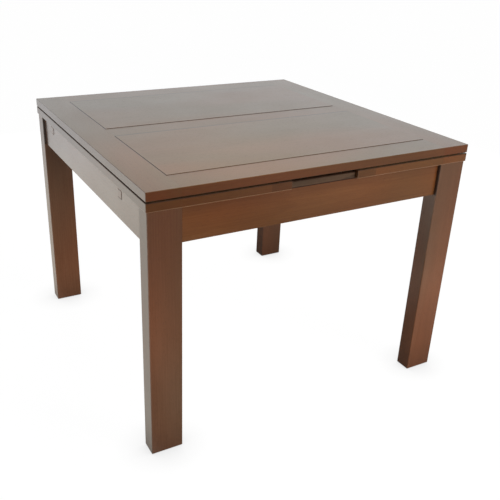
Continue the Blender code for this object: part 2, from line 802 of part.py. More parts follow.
def nut_mesh():
    """Return one flanged nut along Z, its flange at Z 0, made once and shared by the four nuts."""
    hexagon = cylinder_mesh(
        NUT_ACROSS_FLATS / math.sqrt(3), NUT_HEIGHT - FLANGE_THICKNESS + FLANGE_OVERLAP, HEXAGON_SIDES
    )
    middle = (NUT_HEIGHT + FLANGE_THICKNESS - FLANGE_OVERLAP) / 2
    body = add_cutter("nut_body", hexagon, Matrix.Translation((0, 0, middle)))
    flange = cylinder_mesh(FLANGE_RADIUS, FLANGE_THICKNESS, ROUND_SIDES)
    flange_place = Matrix.Translation((0, 0, FLANGE_THICKNESS / 2))
    combine(body, add_cutter("nut_flange", flange, flange_place), "UNION")
    bore = cylinder_mesh(BOLT_RADIUS + SEAT_GAP, NUT_HEIGHT + 2 * CUT_OVERRUN, BOLT_SIDES)
    combine(body, add_cutter("nut_bore", bore, Matrix.Translation((0, 0, NUT_HEIGHT / 2))))
    bpy.context.view_layer.update()
    mesh = bpy.data.meshes.new_from_object(body.evaluated_get(bpy.context.evaluated_depsgraph_get()))
    mesh.transform(body.matrix_world)
    shade_round(mesh)
    return mesh


def add_nut(name, mesh, matrix, rig):
    """Add one nut, with a copy of the shared mesh that carries its own material."""
    own = mesh.copy()
    own.materials.clear()
    own.materials.append(make_material(name + "_finish", STEEL))
    nut = bpy.data.objects.new(name, own)
    bpy.context.scene.collection.objects.link(nut)
    nut.parent = rig
    nut.matrix_world = matrix


def build_leg(rig, x_side, y_side, label, nut):
    """Build one leg with its glide, corner block, hanger bolt and nut."""
    size = (LEG_LENGTH, LEG_DEPTH, FRAME_TOP - LEG_UNDERSIDE)
    centre = (
        x_side * (LEG_OUTER_X + LEG_INNER_X) / 2,
        y_side * (LEG_OUTER_Y + LEG_INNER_Y) / 2,
        (FRAME_TOP + LEG_UNDERSIDE) / 2,
    )
    bm = box_mesh(size)
    round_edges(bm, edges_between(bm, {"-x", "+x", "-y", "+y"}), LEG_ARRIS)
    round_edges(bm, rims_of(bm, {"-z"}), LEG_FOOT_CHAMFER, segments=1)
    leg = add_object("leg_" + label, bm, centre, FRAME_WOOD, rig)
    build_glide(rig, leg, label, centre[0], centre[1])
    build_block_and_bolt(rig, leg, x_side, y_side, label, nut)


def build_glide(rig, leg, label, x, y):
    """Build the nailed glide under a leg and bore the leg for its nail."""
    bm = cylinder_mesh(GLIDE_RADIUS, GLIDE_THICKNESS, ROUND_SIDES)
    round_edges(bm, rims_of(bm, {"-z"}), GLIDE_RIM, segments=1)
    glide = add_object("glide_" + label, bm, (x, y, GLIDE_THICKNESS / 2), GLIDE_PLASTIC, rig)
    shade_round(glide.data)
    nail = cylinder_mesh(GLIDE_NAIL_RADIUS, GLIDE_NAIL_LENGTH, BOLT_SIDES)
    middle = GLIDE_THICKNESS / 2 + GLIDE_NAIL_LENGTH / 2
    combine(glide, add_cutter("nail_" + label, nail, Matrix.Translation((x, y, middle))), "UNION")
    cut_bore(
        leg,
        "nail_hole_" + label,
        (x, y, LEG_UNDERSIDE - CUT_OVERRUN),
        DIRECTIONS["+z"],
        GLIDE_NAIL_RADIUS + SEAT_GAP,
        GLIDE_NAIL_LENGTH + CUT_OVERRUN,
        BOLT_SIDES,
    )


def cut_block_screw_holes(block, outwards, low_z, high_z):
    """Cut the four screw holes of a corner block, two into each of its aprons.

    outwards turns a place measured inwards from the aprons, and a height, into one on the table.
    """
    side_line = BLOCK_REACH_LENGTHWAYS - BLOCK_SCREW_TIP_MARGIN
    end_line = BLOCK_REACH_ACROSS - BLOCK_SCREW_TIP_MARGIN
    rows = {
        "side": ((side_line, BLOCK_SCREW_GRIP), (side_line, BLOCK_REACH_ACROSS)),
        "end": ((BLOCK_SCREW_GRIP, end_line), (BLOCK_REACH_LENGTHWAYS, end_line)),
    }
    heights = {"lower": low_z + BLOCK_SCREW_EDGE_MARGIN, "upper": high_z - BLOCK_SCREW_EDGE_MARGIN}
    for row, (seat_place, mouth_place) in rows.items():
        for height, z in heights.items():
            seat = outwards(seat_place, z)
            pocket = outwards(mouth_place, z) - seat
            cut_pocket_hole(
                block,
                f"{block.name}_{row}_{height}",
                seat,
                pocket.normalized(),
                BLOCK_SCREW_GRIP,
                pocket.length,
            )


def build_block_and_bolt(rig, leg, x_side, y_side, label, nut):
    """Build the corner block that joins two aprons and the bolt that pulls the leg into the corner."""

    def outwards(point, z):
        x = x_side * (END_APRON_INNER_X - point[0])
        y = y_side * (SIDE_APRON_INNER_Y - point[1])
        return Vector((x, y, z))

    low_z = APRON_UNDERSIDE + BLOCK_EDGE_MARGIN
    high_z = FRAME_TOP - BLOCK_EDGE_MARGIN
    points = [outwards(point, 0) for point in block_outline()]
    bm = outline_mesh([(point.x, point.y) for point in points], high_z - low_z)
    block = add_object("corner_block_" + label, bm, (0, 0, low_z), INNER_WOOD, rig)

    middle_z = (low_z + high_z) / 2
    leg_point, block_point = bolt_line()
    leaving_leg = outwards(leg_point, middle_z)
    leaving_block = outwards(block_point, middle_z)
    inwards = (leaving_block - leaving_leg).normalized()
    bolt_start = leaving_leg - inwards * BOLT_IN_LEG
    bolt_end = leaving_block + inwards * (SEAT_GAP + NUT_HEIGHT + BOLT_BEYOND_NUT)
    length = (bolt_end - bolt_start).length
    hole_radius = BOLT_RADIUS + BOLT_HOLE_CLEARANCE
    cut_bore(
        leg,
        "leg_bolt_hole_" + label,
        bolt_start - inwards * HOLE_END_CLEARANCE,
        inwards,
        hole_radius,
        BOLT_IN_LEG + HOLE_END_CLEARANCE + CUT_OVERRUN,
        BOLT_SIDES,
    )
    cut_bore(
        block,
        "block_bolt_hole_" + label,
        leaving_leg - inwards * CUT_OVERRUN,
        inwards,
        hole_radius,
        (leaving_block - leaving_leg).length + 2 * CUT_OVERRUN,
        BOLT_SIDES,
    )
    cut_block_screw_holes(block, outwards, low_z, high_z)
    bm = cylinder_mesh(BOLT_RADIUS, length, BOLT_SIDES)
    round_edges(bm, rims_of(bm, {"-z", "+z"}), BOLT_CHAMFER, segments=1)
    bolt = add_object("hanger_bolt_" + label, bm, (0, 0, 0), STEEL, rig)
    bolt.matrix_world = along((bolt_start + bolt_end) / 2, inwards)
    shade_round(bolt.data)
    add_nut("flange_nut_" + label, nut, along(leaving_block + inwards * SEAT_GAP, inwards), rig)


def build_frame(rig):
    """Build everything that stays put when a leaf is drawn."""
    build_end_aprons(rig)
    build_side_aprons(rig)
    build_cross_rail(rig)
    build_centre_board(rig)
    nut = nut_mesh()
    for x_side, x_label in ((-1, "left"), (1, "right")):
        for y_side, y_label in ((-1, "front"), (1, "back")):
            build_leg(rig, x_side, y_side, f"{y_label}_{x_label}", nut)


def main():
    """Build the table."""
    clear_scene()
    frame_rig = make_rig("frame_rig")
    top_rig = make_rig("top_rig", (0, 0, TOP_UNDERSIDE))
    left_rig = make_rig("left_leaf_rig", (-LOPER_OUTER_X, 0, LOPER_TOP))
    right_rig = make_rig("right_leaf_rig", (LOPER_OUTER_X, 0, LOPER_TOP))
    build_frame(frame_rig)
    build_leaf(left_rig, -1, "left")
    build_leaf(right_rig, 1, "right")
    build_top(top_rig)


main()
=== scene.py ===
"""The looks of a draw-leaf extending table: stained and lacquered wood, felt, screws, threads, studio."""

import itertools
import logging
import math
import random
from collections.abc import Iterator, Sequence
from dataclasses import dataclass, replace
from enum import Enum

import bmesh
import bpy
from mathutils import Matrix, Vector


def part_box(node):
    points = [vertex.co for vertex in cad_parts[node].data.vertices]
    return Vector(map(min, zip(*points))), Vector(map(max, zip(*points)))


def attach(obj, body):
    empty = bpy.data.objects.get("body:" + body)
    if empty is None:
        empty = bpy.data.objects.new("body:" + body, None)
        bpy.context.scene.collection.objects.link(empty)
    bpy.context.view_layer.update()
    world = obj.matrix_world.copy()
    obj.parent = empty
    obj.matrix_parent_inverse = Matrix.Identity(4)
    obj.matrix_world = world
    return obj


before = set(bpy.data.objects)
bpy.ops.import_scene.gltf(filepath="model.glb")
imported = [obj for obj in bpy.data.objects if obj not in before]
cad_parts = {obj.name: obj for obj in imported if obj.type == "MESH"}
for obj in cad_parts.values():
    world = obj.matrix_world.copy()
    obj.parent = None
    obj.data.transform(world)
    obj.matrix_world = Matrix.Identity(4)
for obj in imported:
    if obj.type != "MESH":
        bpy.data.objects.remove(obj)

LOG = logging.getLogger("table")
SIDES = ("left", "right")
DEPTHS = ("front", "back")
CORNERS = tuple(f"{depth}_{side}" for side in SIDES for depth in DEPTHS)
TONGUE_LENGTH = 0.008
SEAT_GAP = 0.0003
ARRIS = 0.0015
TONES = ("dark", "middle", "light")
THREAD_PARTS = ("length", "radius", "pitch")

Triple = tuple[float, float, float]
Colour = Triple
Pair = tuple[float, float]
Socket = bpy.types.NodeSocket
Number = "float | Value"
Place = "tuple[Value, Value, Value]"

WHITE: Colour = (1.0, 1.0, 1.0)
SMOOTH = {"interpolation_type": "SMOOTHSTEP"}


class Axis(Enum):
    """The way that the grain of a board runs, with the board's other two axes after it."""

    X = (0, 1, 2)
    Y = (1, 0, 2)
    Z = (2, 0, 1)


class Value:
    """A number that varies over a surface, so that sums on sockets read as Python sums."""

    def __init__(self, graph: "Graph", socket: Socket) -> None:
        """Wrap an output socket of a graph."""
        self.graph = graph
        self.socket = socket

    def math(self, operation: str, *others: Number) -> "Value":
        """Add a Math node.

        Args:
            operation: the Math node's operation.
            others: its second and third values, if it has them.

        Returns:
            The result.
        """
        node = self.graph.node("ShaderNodeMath", {"operation": operation}, [self, *others])
        return Value(self.graph, node.outputs[0])

    def __add__(self, other: Number) -> "Value":
        """Return the sum."""
        return self.math("ADD", other)

    def __sub__(self, other: Number) -> "Value":
        """Return the difference."""
        return self.math("SUBTRACT", other)

    def __rsub__(self, other: float) -> "Value":
        """Return the difference, the other way round."""
        return self * -1 + other

    def __mul__(self, other: Number) -> "Value":
        """Return the product."""
        return self.math("MULTIPLY", other)

    def __truediv__(self, other: Number) -> "Value":
        """Return the quotient."""
        return self.math("DIVIDE", other)

    def __pow__(self, other: float) -> "Value":
        """Return the power."""
        return self.math("POWER", other)

    def fraction(self) -> "Value":
        """Return what is left above the whole number below."""
        return self.math("FRACT")

    def size(self) -> "Value":
        """Return the number without its sign."""
        return self.math("ABSOLUTE")

    def at_least(self, other: Number) -> "Value":
        """Return the larger of the two."""
        return self.math("MAXIMUM", other)

    def from_to(self, start: float, end: float) -> "Value":
        """Return 0 at start and 1 at end, with a smooth step between them."""
        node = self.graph.node("ShaderNodeMapRange", SMOOTH, [self, start, end])
        return Value(self.graph, node.outputs[0])

    __radd__ = __add__
    __rmul__ = __mul__


class Tree:
    """A node tree and the one way in which nodes are added to it."""

    def __init__(self, tree: bpy.types.NodeTree) -> None:
        """Take over a tree, empty."""
        self.tree = tree
        self.tree.nodes.clear()

    def node(
        self, kind: str, settings: dict | None = None, inputs: dict | list | None = None
    ) -> bpy.types.Node:
        """Add a node.

        Args:
            kind: the node's type.
            settings: its properties, set first. The stops of a ramp are (place, colour) pairs.
            inputs: a value, Value or socket for each input, by name or number, or in order.

        Returns:
            The node.
        """
        made = self.tree.nodes.new(kind)
        for key, setting in (settings or {}).items():
            if key == "stops":
                self.set_stops(made.color_ramp, setting)
            else:
                setattr(made, key, setting)
        pairs = enumerate(inputs) if isinstance(inputs, list) else (inputs or {}).items()
        for key, value in pairs:
            if isinstance(value, Value):
                value = value.socket
            if isinstance(value, Socket):
                self.tree.links.new(value, made.inputs[key])
            else:
                made.inputs[key].default_value = value
        return made

    @staticmethod
    def set_stops(ramp: bpy.types.ColorRamp, stops: list[tuple[float, Colour]]) -> None:
        """Give a colour ramp its stops.

        Args:
            ramp: the ramp.
            stops: each stop's place and colour.
        """
        while len(ramp.elements) < len(stops):
            ramp.elements.new(1.0)
        for element, (place, colour) in zip(ramp.elements, stops):
            element.position = place
            element.color = (*colour, 1.0)


@dataclass(frozen=True)
class Pattern:
    """A noise: its repeats in a metre along each axis, its finer layers and how far it is bent."""

    scale: Triple
    detail: float = 2.0
    roughness: float = 0.5
    bend: float = 0.0


class Graph(Tree):
    """The nodes of one material, or of the world."""

    def __init__(self, owner: "bpy.types.Material | bpy.types.World") -> None:
        """Start with nothing but the output node."""
        owner.use_nodes = True
        super().__init__(owner.node_tree)
        self.owner = owner
        kind = "World" if isinstance(owner, bpy.types.World) else "Material"
        self.end = self.tree.nodes.new(f"ShaderNodeOutput{kind}")

    @classmethod
    def of_material(cls, name: str) -> "Graph":
        """Start a new material."""
        return cls(bpy.data.materials.new(name))

    def split(self, vector: Socket) -> Place:
        """Return the three parts of a vector."""
        parts = self.node("ShaderNodeSeparateXYZ", None, [vector]).outputs
        return tuple(Value(self, part) for part in parts)

    def at(self, kind: str = "Object") -> Socket:
        """Return a point's place on the piece, in metres, or another of its texture coordinates."""
        return self.node("ShaderNodeTexCoord").outputs[kind]

    def noise(self, pattern: Pattern, place: Place) -> Value:
        """Add a noise.

        Args:
            pattern: its scale and layers.
            place: where it is read.

        Returns:
            The noise, about 0.5.
        """
        scaled = [part * scale for part, scale in zip(place, pattern.scale)]
        at = self.node("ShaderNodeCombineXYZ", None, scaled).outputs[0]
        inputs = {"Vector": at, "Scale": 1.0, "Detail": pattern.detail, "Roughness": pattern.roughness}
        made = self.node("ShaderNodeTexNoise", None, {**inputs, "Distortion": pattern.bend})
        return Value(self, made.outputs[0])

    def ramp(self, value: Value, stops: Sequence[float], colours: Sequence[Colour]) -> Socket:
        """Return the colour that a ramp gives to a number."""
        settings = {"stops": list(zip(stops, colours))}
        return self.node("ShaderNodeValToRGB", settings, {"Fac": value}).outputs["Color"]

    def blend(
        self, share: Number, first: Colour | Socket, second: Colour | Socket, how: str = "MIX"
    ) -> Socket:
        """Mix two colours.

        Args:
            share: how much of the second there is.
            first: a colour.
            second: a colour.
            how: the blend type of the Mix node.

        Returns:
            The mixed colour.
        """
        colours = [c if isinstance(c, Socket) else (*c, 1.0) for c in (first, second)]
        settings = {"data_type": "RGBA", "blend_type": how}
        made = self.node("ShaderNodeMix", settings, {0: share, 6: colours[0], 7: colours[1]})
        return made.outputs[2]

    def bump(self, height: Value, distance: float, strength: float) -> Socket:
        """Return the normal of a surface with this height, of 0 to 1, over a distance in metres."""
        inputs = {"Height": height, "Distance": distance, "Strength": strength}
        return self.node("ShaderNodeBump", None, inputs).outputs[0]

    def end_in(self, shader: bpy.types.Node) -> None:
        """Link the last shader to the output."""
        self.tree.links.new(shader.outputs[0], self.end.inputs[0])

    def surface(self, inputs: dict) -> bpy.types.Material:
        """End the material in a Principled shader with these inputs, by name."""
        self.end_in(self.node("ShaderNodeBsdfPrincipled", None, inputs))
        return self.owner


@dataclass(frozen=True)
class Box:
    """The box that a board fills, in metres."""

    low: Vector
    high: Vector

    @classmethod
    def of(cls, node: str) -> "Box":
        """Read the box of a CAD node.

        Args:
            node: the node's name.

        Returns:
            Its box, without its tongue if it is a panel.
        """
        low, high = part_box(node)
        tongue = Vector((TONGUE_LENGTH, TONGUE_LENGTH, 0)) if "panel" in node else Vector()
        return cls(low + tongue, high - tongue)

    def centre(self) -> Vector:
        """Return the middle of the box."""
        return (self.low + self.high) / 2

    def size(self) -> Vector:
        """Return the size of the box."""
        return self.high - self.low


@dataclass(frozen=True)
class Wood:
    """Solid wood under a clear finish, bare or evened out by a stain that hides most of the figure."""

    slot: str
    dark: Colour
    middle: Colour
    light: Colour
    pore: Colour
    warm: Colour = (1.20, 0.88, 0.70)
    cool: Colour = (0.80, 1.04, 1.15)
    # Colour of the painted highlight along the rounded lower edges.
    arris_highlight: Colour = (0.34, 0.19, 0.11)
    # Painted shade: the upright faces are multiplied by this, darker and redder than the top faces.
    side_shade: Colour = WHITE
    hue_drift: float = 0.6
    ring_pitch: float = 0.0065
    ring_contrast: float = 0.12
    fibre_contrast: float = 0.30
    mottle_contrast: float = 0.45
    pore_share: float = 0.25
    end_darkening: float = 0.06
    wear_share: float = 0.20
    # Painted shade on the rounded lower and upper edges.
    lower_arris_shade: float = 0.0
    upper_arris_shade: float = 0.0
    lower_arris_highlight: float = 0.0
    # Painted shade in the grooves round the panels.
    groove_shade: float = 0.85
    groove_width: float = 0.0021
    # Painted shade in the corners where a leg stands out beside an apron.
    corner_shade: float = 0.9
    # Painted shade below the board's upper edge.
    upper_shade: float = 0.0
    upper_reach: float = 0.032
    upper_margin: float = 0.006
    # Darker towards the floor, up to this height.
    floor_darkening_height: float = 0.0
    floor_darkening_share: float = 0.25
    roughness: float = 0.30
    touch_roughness: float = 0.10
    pore_roughness: float = 0.08
    # More roughness where the painted edge shade lies.
    arris_shade_roughness: float = 0.4
    wear_polish: float = 0.05
    coat: float = 0.12
    coat_roughness: float = 0.14
    relief: float = 0.00008
    relief_strength: float = 0.4
    refraction: float = 1.5

    def with_painted_light(self, share: float) -> "Wood":
        """Return the same wood made darker or lighter, as painted shade or painted light."""
        tones = {name: tuple(part * share for part in vars(self)[name]) for name in TONES}
        return replace(self, **tones)


class Plank(Graph):
    """The nodes of one board's material, which no other board shares."""

    FIBRE = Pattern((7, 330, 330), 3.0, 0.62)
    MOTTLE = Pattern((2.4, 7, 7), 2.0, 0.5, 0.5)
    DRIFT = Pattern((1.6, 4, 4), 1.0, 0.4, 0.3)
    SWAY = Pattern((2.2, 9, 9))
    SPECKS = Pattern((95, 1150, 1150), 0.0)
    SPECK_GROUPS = Pattern((6, 60, 60), 1.0)
    TOUCH = Pattern((5, 8, 8), 3.0, 0.6)
    ALONG_STEP = 1.7
    ACROSS_STEP = 0.6
    PITH_SIDEWAYS = (-0.07, 0.07)
    PITH_DEPTH = (0.05, 0.14)
    LOG_TAPER = (-0.02, 0.02)
    RING_SWAY = 0.014
    RING_MEAN = 0.3
    LATE_WOOD_END = (0.93, 1.0)
    PORE_RANGE = (0.655, 0.74)
    TONE_STOPS = (0.12, 0.5, 0.88)
    DRIFT_STOPS = (0.36, 0.5, 0.64)
    LEVEL_RANGE = (0.5, 0.9)
    END_GRAIN_RANGE = (0.6, 0.85)
    FLAT_RANGE = (0.92, 0.99)
    FLAT_TOP_RANGE = (0.93, 0.99)
    LOWER_ARRIS = (0.6 * ARRIS, 1.4 * ARRIS)
    UPPER_ARRIS = (0.9 * ARRIS, 2.1 * ARRIS)
    CORNER_BLUR = 0.001
    CORNER_REACH = (0.010, 0.012)
    CORNER_PLANE = (0.001, 0.002)
    # How much wider the painted groove shade spreads at the back of a panel.
    BACK_SPREAD = 0.75
    BACK_SPREAD_SHARES = (0.5, 0.7)

    def __init__(self, name: str, wood: Wood, grain: Axis, box: Box, seed: int) -> None:
        """Start the material of a board.

        Args:
            name: the material's name.
            wood: the wood and its finish.
            grain: the way that the grain runs.
            box: the box that the board fills.
            seed: picks the board out of the stack.
        """
        super().__init__(bpy.data.materials.new(name))
        self.wood, self.grain, self.box, self.seed = wood, grain, box, seed
        self.place, self.normal = self.split(self.at()), self.split(self.at("Normal"))
        self.board = self.board_place()
        self.rings = self.growth()
        self.fibre, self.mottle = (self.noise(of, self.board) for of in (self.FIBRE, self.MOTTLE))
        self.pores = self.open_pores()
        self.colour = self.figure()

    def board_place(self) -> Place:
        """Return a point's place along, across and through the board.

        Returns:
            The three places in metres, far from those of every other board.
        """
        order = list(self.grain.value)
        size = self.box.size()
        if size[order[1]] < size[order[2]]:
            order[1], order[2] = order[2], order[1]
        shift = -self.box.centre()
        shift[order[0]] += self.ALONG_STEP * self.seed
        shift[order[1]] += self.ACROSS_STEP * self.seed
        inputs = {"Vector": self.at(), "Location": shift}
        centred = self.node("ShaderNodeMapping", {"vector_type": "POINT"}, inputs)
        parts = self.split(centred.outputs[0])
        return tuple(parts[axis] for axis in order)

    def growth(self) -> Value:
        """Return how near a point is to the end of a year's growth.

        Returns:
            0 in the early wood, up to 1 at the late wood's edge.
        """
        along, across, deep = self.board
        chance = random.Random(self.seed)
        sideways = across - self.ACROSS_STEP * self.seed + chance.uniform(*self.PITH_SIDEWAYS)
        down = deep + chance.uniform(*self.PITH_DEPTH)
        sway = self.noise(self.SWAY, self.board)
        radius = (sideways * sideways + down * down) ** 0.5
        taper = along * chance.uniform(*self.LOG_TAPER)
        year = ((radius + taper + self.RING_SWAY * (sway - 0.5)) / self.wood.ring_pitch).fraction()
        return (year**3.0) * (1 - year.from_to(*self.LATE_WOOD_END))

    def open_pores(self) -> Value:
        """Return the open pores, short dark dashes along the grain, thinner in the late wood."""
        speck, group = (self.noise(of, self.board) for of in (self.SPECKS, self.SPECK_GROUPS))
        return (speck + 0.10 * (group - 0.5) - 0.05 * self.rings).from_to(*self.PORE_RANGE)

    def figure(self) -> Socket:
        """Return the colour of the plain wood, which drifts softly between redder and greener.

        Returns:
            The colour.
        """
        wood = self.wood
        tone = (
            0.5
            + wood.ring_contrast * (self.RING_MEAN - self.rings)
            + wood.fibre_contrast * (self.fibre - 0.5)
            + wood.mottle_contrast * (self.mottle - 0.5)
        )
        colour = self.ramp(tone, self.TONE_STOPS, [vars(wood)[name] for name in TONES])
        slow = self.noise(self.DRIFT, self.board)
        tint = self.ramp(slow, self.DRIFT_STOPS, (wood.warm, WHITE, wood.cool))
        return self.blend(wood.hue_drift, colour, tint, "MULTIPLY")

    def darken(self, share: Value) -> None:
        """Cover a share of the colour so far with the dark of the pores."""
        self.colour = self.blend(share, self.colour, self.wood.pore)

    def finish(self, panels: Sequence[Box] = (), aprons: Sequence[Box] = ()) -> bpy.types.Material:
        """Stain, wear and lacquer the board, and paint shade and highlights into its colour.

        Args:
            panels: the panels that it borders on, with painted shade in their grooves.
            aprons: the aprons that meet it, if it is a leg, with painted shade in the corners beside them.

        Returns:
            The material.
        """
        wood = self.wood
        self.darken(wood.pore_share * self.pores)
        # Painted shade: upright faces are made darker and redder than the top faces of the same wood.
        upright = 1 - self.normal[2].size().from_to(*self.LEVEL_RANGE)
        tinted = self.blend(1.0, self.colour, wood.side_shade, "MULTIPLY")
        self.colour = self.blend(upright, self.colour, tinted)
        ends = self.normal[self.grain.value[0]].size().from_to(*self.END_GRAIN_RANGE)
        self.darken(wood.end_darkening * ends)
        wear = self.rounded() * (0.4 + 1.2 * self.mottle)
        self.colour = self.blend(wood.wear_share * wear, self.colour, wood.light)
        lower, upper = self.arrises()
        # Painted shade: the rounded edges are darkened in the gaps between top, leaves and aprons, at the
        # loper ends and along the feet.
        arris_shade = wood.lower_arris_shade * lower + wood.upper_arris_shade * upper
        self.darken(arris_shade)
        # Painted highlight: the rounded lower edges are lightened as if they caught the light.
        if wood.lower_arris_highlight:
            arris_highlight = lower * (wood.lower_arris_highlight + 0.5 * (self.mottle - 0.5))
            self.colour = self.blend(arris_highlight, self.colour, wood.arris_highlight)
        self.shade(panels, aprons)
        touch = self.noise(self.TOUCH, self.board)
        roughness = (
            wood.roughness
            + wood.touch_roughness * (touch - 0.5)
            + wood.pore_roughness * self.pores
            + wood.end_darkening * ends
            + wood.arris_shade_roughness * arris_shade
            - wood.wear_polish * wear
        )
        height = 0.6 + 0.25 * (self.fibre - 0.5) - 0.5 * self.pores - 0.12 * self.rings
        return self.surface(
            {
                "Base Color": self.colour,
                "Roughness": roughness,
                "IOR": wood.refraction,
                "Coat Weight": wood.coat * (1 - 0.3 * self.pores - 0.15 * touch) * (1 - arris_shade),
                "Coat Roughness": wood.coat_roughness,
                "Normal": self.bump(height, wood.relief, wood.relief_strength),
            }
        )

    def shade(self, panels: Sequence[Box], aprons: Sequence[Box]) -> None:
        """Paint shade below the upper edge, in the grooves and in the corners, and darken the board towards
        the floor.

        Args:
            panels: the panels that the board borders on.
            aprons: the aprons that meet it.
        """
        wood, z = self.wood, self.place[2]
        # Painted shade: darker towards the upper edge, under the leaves and the aprons.
        if wood.upper_shade:
            start, end = (self.box.high.z - below for below in (wood.upper_reach, wood.upper_margin))
            self.darken(wood.upper_shade * z.from_to(start, end) * (0.5 + self.mottle))
        # Painted shade in the grooves round the panels.
        for panel in panels:
            in_groove = 1 - self.to_outline(panel).from_to(0.0, wood.groove_width)
            self.darken(wood.groove_shade * in_groove)
        # Painted shade in the corners beside the aprons.
        for apron in aprons:
            self.darken(wood.corner_shade * self.in_corner(apron))
        # Darker towards the floor.
        if wood.floor_darkening_height:
            self.darken(wood.floor_darkening_share * (1 - z.from_to(0.0, wood.floor_darkening_height)))

    def rounded(self) -> Value:
        """Return 1 on the rounded edges of the board, and 0 on its flat faces."""
        x, y, z = (part.size() for part in self.normal)
        return 1 - x.at_least(y).at_least(z).from_to(*self.FLAT_RANGE)

    def arrises(self) -> tuple[Value, Value]:
        """Find the rounded lower and upper edges of the board.

        Returns:
            1 on the lower edges and 1 on the upper ones, both 0 on the flat faces.
        """
        bent = 1 - self.normal[2].size().from_to(*self.FLAT_TOP_RANGE)
        lower = 1 - (self.place[2] - self.box.low.z).from_to(*self.LOWER_ARRIS)
        upper = 1 - (self.box.high.z - self.place[2]).from_to(*self.UPPER_ARRIS)
        return lower * bent, upper * bent

    def in_corner(self, apron: Box) -> Value:
        """Find the strip of a leg that stands out beside the end of an apron.

        Args:
            apron: the apron's box.

        Returns:
            1 there, 0 elsewhere on the leg.
        """
        along, through = (0, 1) if apron.size().x > apron.size().y else (1, 0)
        from_end, beside = (
            (self.place[axis] - apron.centre()[axis]).size() - apron.size()[axis] / 2
            for axis in (along, through)
        )
        above = self.place[2].from_to(apron.low.z - self.CORNER_BLUR, apron.low.z + self.CORNER_BLUR)
        near = 1 - beside.from_to(*self.CORNER_REACH)
        return above * near * (1 - from_end.size().from_to(*self.CORNER_PLANE))

    def to_outline(self, panel: Box) -> Value:
        """Return how far a point is, seen from above, from the outline of a panel.

        Args:
            panel: the panel's box.

        Returns:
            The distance, in metres, on either side of the outline, counted less at the back, so
            that the painted groove shade spreads wider there.
        """
        half, middle = panel.size() / 2, panel.centre()
        x, y = ((self.place[axis] - middle[axis]).size() - half[axis] for axis in range(2))
        start, end = (share * half.y for share in self.BACK_SPREAD_SHARES)
        back_spread = 1 - self.BACK_SPREAD * (self.place[1] - middle.y).from_to(start, end)
        return x.at_least(y * back_spread).size()


@dataclass(frozen=True)
class Felt:
    """Pressed wool felt, with loose fibres."""

    label: str = "felt"
    dark: Colour = (0.030, 0.019, 0.013)
    light: Colour = (0.105, 0.070, 0.050)
    lint: Pattern = Pattern((900, 700, 900), 3.0, 0.7, 1.5)
    cloud: Pattern = Pattern((60, 45, 60))
    stops: Pair = (0.3, 0.7)

    def material(self, name: str) -> bpy.types.Material:
        """Make the felt's material.

        Args:
            name: the material's name.

        Returns:
            The material.
        """
        graph = Graph.of_material(name)
        place = graph.split(graph.at())
        lint, cloud = graph.noise(self.lint, place), graph.noise(self.cloud, place)
        tone = 0.7 * lint + 0.3 * cloud
        return graph.surface(
            {
                "Base Color": graph.ramp(tone, self.stops, (self.dark, self.light)),
                "Roughness": 0.9 + 0.1 * cloud,
                "Sheen Weight": 0.5,
                "Sheen Roughness": 0.4,
                "Normal": graph.bump(lint, distance=0.0004, strength=0.7),
            }
        )


@dataclass(frozen=True)
class ZincPlate:
    """Steel with a bright zinc plating, turned or rolled, a little stained."""

    label: str = "zinc"
    slot: str = "steel"
    bright: Colour = (0.66, 0.65, 0.62)
    dull: Colour = (0.42, 0.41, 0.38)
    tarnish: Colour = (0.50, 0.42, 0.28)
    cloud: Pattern = Pattern((260, 260, 260), 3.0, 0.6)
    marks: Pattern = Pattern((1800, 1800, 5200), 2.0, 0.7)
    stops: Pair = (0.32, 0.62)
    tarnish_range: Pair = (0.56, 0.68)

    def material(self, name: str) -> bpy.types.Material:
        """Make the plating's material.

        Args:
            name: the material's name.

        Returns:
            The material.
        """
        graph = Graph.of_material(name)
        place = graph.split(graph.at())
        cloud, marks = graph.noise(self.cloud, place), graph.noise(self.marks, place)
        colour = graph.ramp(cloud, self.stops, (self.dull, self.bright))
        colour = graph.blend(0.45 * cloud.from_to(*self.tarnish_range), colour, self.tarnish)
        return graph.surface(
            {
                "Base Color": colour,
                "Metallic": 1.0,
                "Roughness": 0.26 + 0.18 * marks + 0.12 * (cloud - 0.5),
                "Normal": graph.bump(marks, distance=0.00004, strength=0.4),
            }
        )


@dataclass(frozen=True)
class MouldedPlastic:
    """Black moulded plastic with a fine spark texture, scuffed where it slides."""

    label: str = "plastic"
    black: Colour = (0.020, 0.018, 0.016)
    scuffed: Colour = (0.085, 0.080, 0.074)
    spark: Pattern = Pattern((2600, 2600, 2600), 2.0, 0.6)
    scratches: Pattern = Pattern((240, 2400, 240), 2.0, 0.7, 0.4)
    scratch_range: Pair = (0.45, 0.62)
    scuff_height: float = 0.0012

    def material(self, name: str) -> bpy.types.Material:
        """Make the plastic's material.

        Args:
            name: the material's name.

        Returns:
            The material.
        """
        graph = Graph.of_material(name)
        place = graph.split(graph.at())
        spark, scratch = graph.noise(self.spark, place), graph.noise(self.scratches, place)
        near_floor = 1 - place[2].from_to(0.0, self.scuff_height)
        scuff = near_floor * scratch.from_to(*self.scratch_range)
        return graph.surface(
            {
                "Base Color": graph.blend(scuff, self.black, self.scuffed),
                "Roughness": 0.46 + 0.14 * spark + 0.2 * scuff,
                "Normal": graph.bump(spark + 0.4 * scuff, distance=0.00006, strength=0.5),
            }
        )


